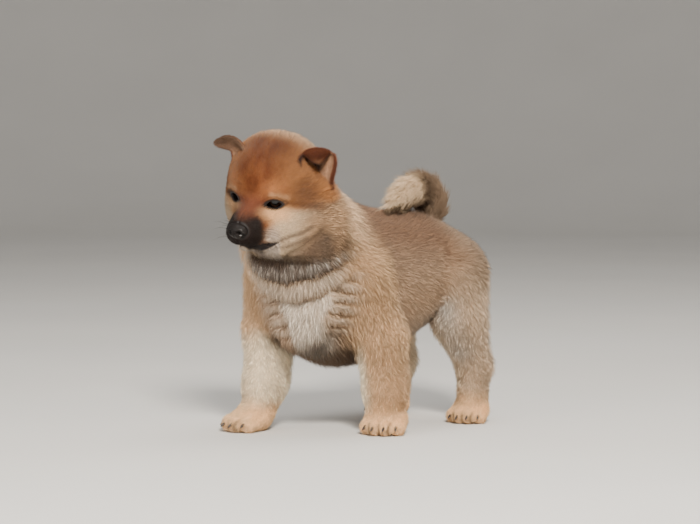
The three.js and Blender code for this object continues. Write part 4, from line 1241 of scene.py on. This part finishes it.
class Recipe:
    """A material's nodes."""

    def __init__(self, name, **constants):
        self.material = bpy.data.materials.new(name)
        self.material.use_nodes = True
        self.tree = self.material.node_tree
        self.shader = self.tree.nodes["Principled BSDF"]
        for socket, value in constants.items():
            self.shader.inputs[socket.replace("_", " ")].default_value = value

    def node(self, kind, settings=(), values=(), output=0):
        made = self.tree.nodes.new(kind)
        for key, value in dict(settings).items():
            setattr(made, key, value)
        for key, value in values.items() if isinstance(values, dict) else enumerate(values):
            if isinstance(value, Wire):
                self.tree.links.new(value.socket, made.inputs[key])
            else:
                made.inputs[key].default_value = value
        return Wire(self, made.outputs[output])

    def level(self, value, low, high, to_low=0.0, to_high=1.0):
        return self.node("ShaderNodeMapRange", {"clamp": True}, [value, low, high, to_low, to_high])

    def mixed(self, factor, a, b, blend_type="MIX"):
        a, b = (colour if isinstance(colour, Wire) else (*colour, 1) for colour in (a, b))
        settings = {"data_type": "RGBA", "blend_type": blend_type}
        return self.node("ShaderNodeMix", settings, {0: factor, 6: a, 7: b}, output=2)

    def place(self):
        return self.node("ShaderNodeTexCoord", output="Object")

    def noise(self, scale, detail=2.0):
        return self.node("ShaderNodeTexNoise", (), {"Vector": self.place(), "Scale": scale, "Detail": detail})

    def attribute(self, name):
        return self.node("ShaderNodeAttribute", {"attribute_name": name}, output="Color")

    def split(self, colour, channel):
        return self.node("ShaderNodeSeparateColor", (), [colour], output=channel)

    def feed(self, **links):
        for socket, wire in links.items():
            self.tree.links.new(wire.socket, self.shader.inputs[socket.replace("_", " ")])
        return self.material

    def bump(self, height, strength, distance):
        return self.node("ShaderNodeBump", (), {"Height": height, "Strength": strength, "Distance": distance})


def coat_material():
    r = Recipe("plush_coat", Roughness=0.62, Specular_IOR_Level=0.12, Sheen_Weight=0.04, Sheen_Roughness=0.5)
    hue = r.attribute("hue")
    strand = r.attribute("strand")
    along, shade = r.split(strand, "Red"), r.split(strand, "Green")
    # painted shade: each hair darker towards its root, deep in the coat
    root_shade = r.mixed(1.0, hue, (0.72, 0.66, 0.6), "MULTIPLY")
    colour = r.mixed(r.level(along, 0.0, 0.45), root_shade, hue)
    patches = r.level(r.noise(210.0), 0.4, 0.62, 0.2, 1.0) * r.level(r.noise(30.0), 0.35, 0.65, 0.45, 0.9)
    red_brown = r.level(r.split(hue, "Blue"), 0.22, 0.55, 1.0, 0.1)
    sable = r.level(shade, 0.55, 0.9) * r.level(along, 0.35, 0.9) * patches * red_brown
    dark = r.mixed(1.0, hue, (0.36, 0.3, 0.27), "MULTIPLY")
    colour = r.mixed(sable, colour, dark)
    bright = r.level(shade, 0.0, 1.0, 0.74, 1.26)
    colour = r.mixed(1.0, colour, r.node("ShaderNodeCombineColor", (), [bright, bright, bright]), "MULTIPLY")
    return r.feed(Base_Color=colour)


def skin_material():
    r = Recipe("skin_under_coat", Roughness=0.7, Specular_IOR_Level=0.18)
    hue = r.attribute("hue")
    bare = r.split(r.attribute("strand"), "Blue")
    fine = r.noise(900.0, 3.0)
    colour = r.mixed(r.level(fine, 0.35, 0.7), r.mixed(1.0, hue, (0.66, 0.6, 0.55), "MULTIPLY"), hue)
    leather = r.mixed(r.noise(260.0), tuple(HAIR["skin_dark"]), tuple(HAIR["skin_dark"] * 1.9))
    colour = r.mixed(bare, colour, leather)
    rough = r.level(bare, 0.0, 1.0, 0.78, 0.5)
    return r.feed(Base_Color=colour, Roughness=rough, Normal=r.bump(fine, 0.5, 0.0006))


def nose_material():
    r = Recipe("nose_leather", Specular_IOR_Level=0.12, Coat_Roughness=0.2)
    edges = {"feature": "DISTANCE_TO_EDGE"}
    pebble = r.node("ShaderNodeTexVoronoi", edges, {"Vector": r.place(), "Scale": 820.0}, output="Distance")
    height = r.level(pebble, 0.0, 0.32)
    tone = r.noise(160.0, 3.0)
    colour = r.mixed(tone, (0.005, 0.0035, 0.003), (0.013, 0.009, 0.008))
    # painted shade: darker in the grooves between the pebbles
    colour = r.mixed(r.level(height, 0.0, 0.5), (0.006, 0.005, 0.005), colour)
    rough = r.level(height + tone * 0.5, 0.0, 1.4, 0.62, 0.36)
    wet = r.level(tone, 0.4, 0.65, 0.03, 0.2)
    return r.feed(Base_Color=colour, Roughness=rough, Coat_Weight=wet, Normal=r.bump(height, 0.55, 0.0004))


def eye_material(name, side):
    centre, axes = eye_frame(side)
    at = Vector(to_frame(on_head(centre)))
    out = Vector(HEAD_TURN @ axes[2])
    wet = {"Coat_Weight": 0.7, "Coat_Roughness": 0.02, "Coat_IOR": 1.36}
    r = Recipe(name, Roughness=0.16, IOR=1.38, Specular_IOR_Level=0.3, **wet)
    off = r.node("ShaderNodeVectorMath", {"operation": "SUBTRACT"}, [r.place(), at])
    along = r.node("ShaderNodeVectorMath", {"operation": "DOT_PRODUCT"}, [off, out], output="Value")
    far = r.node("ShaderNodeVectorMath", {"operation": "LENGTH"}, [off], output="Value")
    ratio = r.node("ShaderNodeMath", {"operation": "DIVIDE"}, [along, far])
    angle = r.node("ShaderNodeMath", {"operation": "ARCCOSINE"}, [ratio])
    iris = r.mixed(r.noise(2400.0), (0.012, 0.0055, 0.003), (0.045, 0.019, 0.009))
    black = (0.0025, 0.002, 0.002)
    colour = r.mixed(r.level(angle, 0.3, 0.37), black, iris)
    colour = r.mixed(r.level(angle, 0.72, 0.84), colour, black)
    colour = r.mixed(r.level(angle, 0.9, 1.05), colour, (0.09, 0.06, 0.05))
    return r.feed(Base_Color=colour)


def claw_material():
    r = Recipe("claw_horn", Specular_IOR_Level=0.5)
    grain = r.node("ShaderNodeTexWave", (), {"Vector": r.place(), "Scale": 240.0, "Distortion": 3.0})
    colour = r.mixed(r.noise(120.0), (0.012, 0.009, 0.008), (0.05, 0.036, 0.028))
    colour = r.mixed(r.level(grain, 0.0, 1.0, 0.0, 0.35), colour, (0.09, 0.066, 0.05))
    rough = r.level(grain, 0.0, 1.0, 0.32, 0.5)
    return r.feed(Base_Color=colour, Roughness=rough, Normal=r.bump(grain, 0.25, 0.0002))


def floor_material():
    r = Recipe("studio_floor", Specular_IOR_Level=0.2)
    tone = r.noise(3.0, 3.0)
    colour = r.mixed(tone, (0.60, 0.585, 0.56), (0.66, 0.645, 0.62))
    return r.feed(Base_Color=colour, Roughness=r.level(tone, 0.0, 1.0, 0.72, 0.85))


# Small pieces
CLAW_RINGS, CLAW_SIDES = 7, 12
CLAW_LENGTH, CLAW_DROOP, CLAW_NARROW = 8.0, 3.1, 0.72
CLAW_RADII, CLAW_POINT = (2.1, 1.0), 0.35
WHISKER_LENGTHS, BROW_LENGTHS = (15, 24), (8, 12)
WHISKER_WIDTH = 0.32


def build_nose(material):
    """A flattened ball with two nostrils, each with its slit, and the groove between them."""
    bm = bmesh.new()
    bmesh.ops.create_uvsphere(bm, u_segments=72, v_segments=48, radius=1)
    mesh = mesh_of(bm, "nose")
    q = coords(mesh)
    size = np.array(NOSE_SIZE) / 2
    flat = q * size
    flat[:, 2] *= 1 - 0.1 * smooth(q[:, 2], 0.2, 1.0)
    flat[:, 0] *= 1 - 0.16 * smooth(q[:, 2], 0.1, -0.9)
    outward = unit(q / size)
    front = smooth(q[:, 1], 0.1, -0.5)
    face = one_side(flat)[:, [0, 2]]
    hole = from_centre(face, (4.6, -0.6), (2.1, 2.0))
    slit = from_centre(face, (7.3, -2.1), (2.9, 1.0))
    depth = 3.4 * smooth(hole, 1.15, 0.35) + 1.7 * smooth(slit, 1.2, 0.3) - 0.45 * bell(hole - 1.7, 0.5)
    groove = 0.8 * bell(flat[:, 0], 0.75) * smooth(q[:, 2], 0.25, -0.2)
    flat = flat - outward * ((depth + groove) * front)[:, None]
    flat[:, 1] -= 0.8 * smooth(np.abs(q[:, 0]), 0.6, 0.0) * front
    return smooth_piece(mesh, on_head(flat + np.array(NOSE_AT)), material)


def build_eye(name, side, material):
    centre, axes = eye_frame(side)
    bm = bmesh.new()
    bmesh.ops.create_uvsphere(bm, u_segments=56, v_segments=40, radius=1)
    mesh = mesh_of(bm, name)
    q = coords(mesh)
    bulge = CORNEA_BULGE * smooth(q[:, 2], 0.72, 0.9)
    local = (q * (EYE_RADIUS + bulge)[:, None]) @ axes
    return smooth_piece(mesh, on_head(centre + local), material)


def build_claws(material):
    """Curved horn cones, one at the tip of each toe."""
    bm = bmesh.new()
    for name in LEGS:
        for side, ahead, turn in TOES:
            ring = bmesh.ops.create_circle(bm, cap_ends=True, segments=CLAW_SIDES, radius=1)["verts"]
            stack = [ring]
            edges = list({e for v in ring for e in v.link_edges})
            for _ in range(CLAW_RINGS - 1):
                grown = bmesh.ops.extrude_edge_only(bm, edges=edges)["geom"]
                edges = [g for g in grown if isinstance(g, bmesh.types.BMEdge)]
                stack.append([g for g in grown if isinstance(g, bmesh.types.BMVert)])
            bmesh.ops.edgeloop_fill(bm, edges=edges)
            spin = turn_about("Z", -turn)
            middle = np.array([side * 1.06, ahead - 4.6, 7.6])
            for k, loop in enumerate(stack):
                t = k / (CLAW_RINGS - 1)
                radius = mix(*CLAW_RADII, t) if t < 1 else CLAW_POINT
                back, up = 1.5 - t * CLAW_LENGTH, 1.0 - CLAW_DROOP * t * t
                for j, vert in enumerate(loop):
                    a = 2 * math.pi * j / CLAW_SIDES
                    local = np.array([radius * CLAW_NARROW * math.cos(a), back, up + radius * math.sin(a)])
                    vert.co = on_paw(name, spin @ local + middle)
    bmesh.ops.recalc_face_normals(bm, faces=bm.faces)
    mesh = mesh_of(bm, "claws")
    return smooth_piece(mesh, coords(mesh), material)


def build_whiskers(material):
    """A few fine stiff hairs on each side of the muzzle and over the eyes."""
    roots = []
    for row, z in enumerate((-22.5, -26.0, -29.0)):
        roots += [(13.5 - 1.5 * row, y, z) for y in (-25, -19, -13)]
    starts, ways, spans = [], [], []
    for side in (1, -1):
        for x, y, z in roots:
            starts.append((side * x, y, z))
            ways.append((side * 1.0, 0.25 + (y + 25) * 0.03, (z + 25) * 0.05 - 0.1))
            spans.append(rng.uniform(*WHISKER_LENGTHS))
        for k in range(3):
            starts.append((side * (10 + 2 * k), -6, 12))
            ways.append((side * 0.5, -0.5, 0.9))
            spans.append(rng.uniform(*BROW_LENGTHS))
    start = onto_skin(on_head(np.array(starts, float)), 6, 6)
    way = unit(np.array(ways)) @ HEAD_TURN.T
    span = np.array(spans)[:, None]
    droop = np.array([0, 0, -1.0])
    middle = start + way * span * 0.5
    tip = middle + unit(way + droop * 0.25) * span * 0.5
    across = unit(np.cross(way, droop))
    n = len(start)
    width, shade, uv = np.full(n, WHISKER_WIDTH), np.full(n, 0.5), np.full((n, 2), 0.5)
    hue = np.tile(HAIR["whisker"], (n, 1))
    out = np.cross(across, way)
    return tuft_piece("whiskers", start, middle, tip, across, out, width, hue, shade, uv, material)


# The stage. The camera's axes are fitted to the photograph, and its place is in drawing millimetres
CAMERA_RIGHT = (0.70710678, 0.70710678, 0)
CAMERA_BACK = (0.70593427, -0.70593427, 0.05756403)
CAMERA_AT = (1525.73, -1567.88, 279.91)
CAMERA_LENS, CAMERA_SENSOR = 118.8, 36

# Lamps: place, aim, width, power and colour
LAMPS = {
    "key": ((1.5, -1.1, 1.45), (0, 0, 0.12), 0.55, 114, (1.0, 0.94, 0.85)),
    "fill": ((0.1, -2.3, 0.4), (0, 0, 0.08), 1.4, 36, (1.0, 0.97, 0.94)),
    "top": ((0.1, 0.5, 2.3), (0, 0, 0.1), 1.8, 30, (1.0, 0.97, 0.92)),
}
WORLD_GREY, WORLD_STRENGTH = 0.92, 0.45
FLOOR_RADIUS, COVE_RADIUS, WALL_HEIGHT = 4.0, 2, 5.0


def build_camera():
    """At the photograph's angle and framing."""
    lens = bpy.data.cameras.new("camera")
    lens.lens = CAMERA_LENS
    lens.sensor_width = CAMERA_SENSOR
    lens.clip_end = 50
    camera = new_object("camera", lens)
    up = np.cross(CAMERA_BACK, CAMERA_RIGHT)
    camera.matrix_world = Matrix(np.stack([CAMERA_RIGHT, up, CAMERA_BACK], 1)).to_4x4()
    camera.location = Vector(to_frame(CAMERA_AT))
    bpy.context.scene.camera = camera


def add_lamp(name, place, aim, size, power, colour):
    data = bpy.data.lights.new(name, "AREA")
    data.shape = "DISK"
    data.size = size
    data.energy = power
    data.color = colour
    lamp = new_object(name, data)
    lamp.location = place
    lamp.rotation_euler = (Vector(aim) - Vector(place)).to_track_quat("-Z", "Y").to_euler()


def build_stage():
    """A round floor that curves up into a wall, three lamps and an even grey sky."""
    bm = bmesh.new()
    profile = [(0.0, 0.0)]
    for a in np.linspace(0, math.pi / 2, 12):
        profile.append((FLOOR_RADIUS + COVE_RADIUS * math.sin(a), COVE_RADIUS - COVE_RADIUS * math.cos(a)))
    profile.append((FLOOR_RADIUS + COVE_RADIUS, WALL_HEIGHT))
    verts = [bm.verts.new((r, 0, z)) for r, z in profile]
    line = [bm.edges.new(pair) for pair in zip(verts, verts[1:])]
    bmesh.ops.spin(
        bm, geom=verts + line, cent=(0, 0, 0), axis=(0, 0, 1), angle=2 * math.pi, steps=96, use_merge=True
    )
    bmesh.ops.remove_doubles(bm, verts=bm.verts, dist=1e-5)
    bmesh.ops.recalc_face_normals(bm, faces=bm.faces)
    floor = new_object("floor", mesh_of(bm, "floor"), floor_material())
    shade_smooth(floor.data)
    for name, lamp in LAMPS.items():
        add_lamp(name, *lamp)
    world = bpy.data.worlds.new("studio")
    bpy.context.scene.world = world
    world.use_nodes = True
    sky = world.node_tree.nodes["Background"]
    sky.inputs["Color"].default_value = (WORLD_GREY, WORLD_GREY, WORLD_GREY, 1)
    sky.inputs["Strength"].default_value = WORLD_STRENGTH


def grow_ear(name, ear):
    """One ear: its skin, and straight hair that is longest inside its edges, near the root."""
    piece, place = build_ear(name, ear)
    mesh = piece.data
    mesh.materials.append(skin_look)
    set_looks(mesh, ear_hair(ear, place), 0)
    unwrap(piece)
    root, outward, uv, at_roots = scatter(mesh, lambda p, _: np.full(len(p), EAR_TUFTS))
    clear = head_field(root) > -3
    root, outward, uv, place = (a[clear] for a in (root, outward, uv, at_roots(place)))
    up, across, front = place.T
    rise, _, width = ear_ways(ear, up)
    lie = (rise + width * (0.35 * across)[:, None]) @ ear_turn(ear).T
    lie = unit(lie - outward * (lie * outward).sum(1, keepdims=True))
    n = len(root)
    fringe = front * smooth(np.abs(across), 0.3, 0.8) * (1 - up)
    plan = (4.2 + 5 * fringe, 18 + 12 * front, np.full(n, 0.3), 0, EAR_TUFTS, np.full(n, 0.15))
    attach(piece, "root")
    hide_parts(f"ear_{name}")
    group = {f"coat_ear_{name}": np.ones(n, bool)}
    return grow(group, root, outward, lie, plan, ear_hair(ear, place), uv, coat, sunk=0.2)


build_camera()
build_stage()
coat = coat_material()
skin_look = skin_material()

skin = build_skin()
skin.data.materials.append(skin_look)
unwrap(skin)
s = survey(from_frame(coords(skin.data)))
skin_ways = values_of(skin.data.vertex_normals, "vector", 3).astype(float)
set_looks(skin.data, markings(s, skin_ways), np.outer(bareness(s), (0, 0, 1)))


def skin_density(p, outward):
    """Tufts to a square millimetre: none on bare skin, under the paws or in the eye sockets."""
    s = survey(p)
    clear = smooth(p[:, 2], 0.6, 3.0) * smooth(outward[:, 2], -0.97, -0.8)
    on_sole = np.where(p[:, 2] < 12, clear, 1)
    off_eye = beside_eye(s["h"])[1] > EYE_RADIUS + 0.6
    return hair_plan(s, outward)[3:5].sum(0) * (1 - smooth(bareness(s), 0.3, 0.6)) * on_sole * off_eye


root, outward, root_uv, _ = scatter(skin.data, skin_density)
s = survey(root)
hue = markings(s, outward)
plan = hair_plan(s, outward)
lie = lie_of_coat(s, outward)
is_head = s["headness"] > 0.5
is_tail = ~is_head & (s["tailness"] > 0.5)
is_leg = ~is_head & ~is_tail & (s["legness"] > 0.5)
rest = ~(is_head | is_tail | is_leg)
fore = root[:, 1] < 0
cheeks = s["h"][:, 2] < -6
groups = {
    "coat_crown": is_head & ~cheeks,
    "coat_cheeks": is_head & cheeks,
    "coat_ruff": rest & (root[:, 1] < -60),
    "coat_back": rest & (root[:, 1] >= -60),
    "coat_forelegs": is_leg & fore,
    "coat_hind_legs": is_leg & ~fore,
    "coat_tail": is_tail,
}
guard = rng.random(len(root)) * plan[3:5].sum(0) < plan[3]
coat_pieces = grow(groups, root, outward, lie, plan, hue, root_uv, coat, guard=guard)

for name, ear in EARS.items():
    coat_pieces += grow_ear(name, ear)

not_flesh = ("eye_", "ear_", "nose")
flesh = [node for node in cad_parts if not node.startswith(not_flesh) and "claw" not in node]
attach(skin, "root")
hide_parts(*flesh)
for piece in coat_pieces:
    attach(piece, "root")

nose = build_nose(nose_material())
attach(nose, "root")
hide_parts("nose_leather")
for name, side in (("left", 1), ("right", -1)):
    eyeball = build_eye(f"eyeball_{name}", side, eye_material(f"eye_{name}_wet", side))
    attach(eyeball, "root")
    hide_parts(f"eye_{name}")
claws = build_claws(claw_material())
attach(claws, "root")
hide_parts(*[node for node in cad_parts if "claw" in node])
whiskers = build_whiskers(coat)
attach(whiskers, "root")
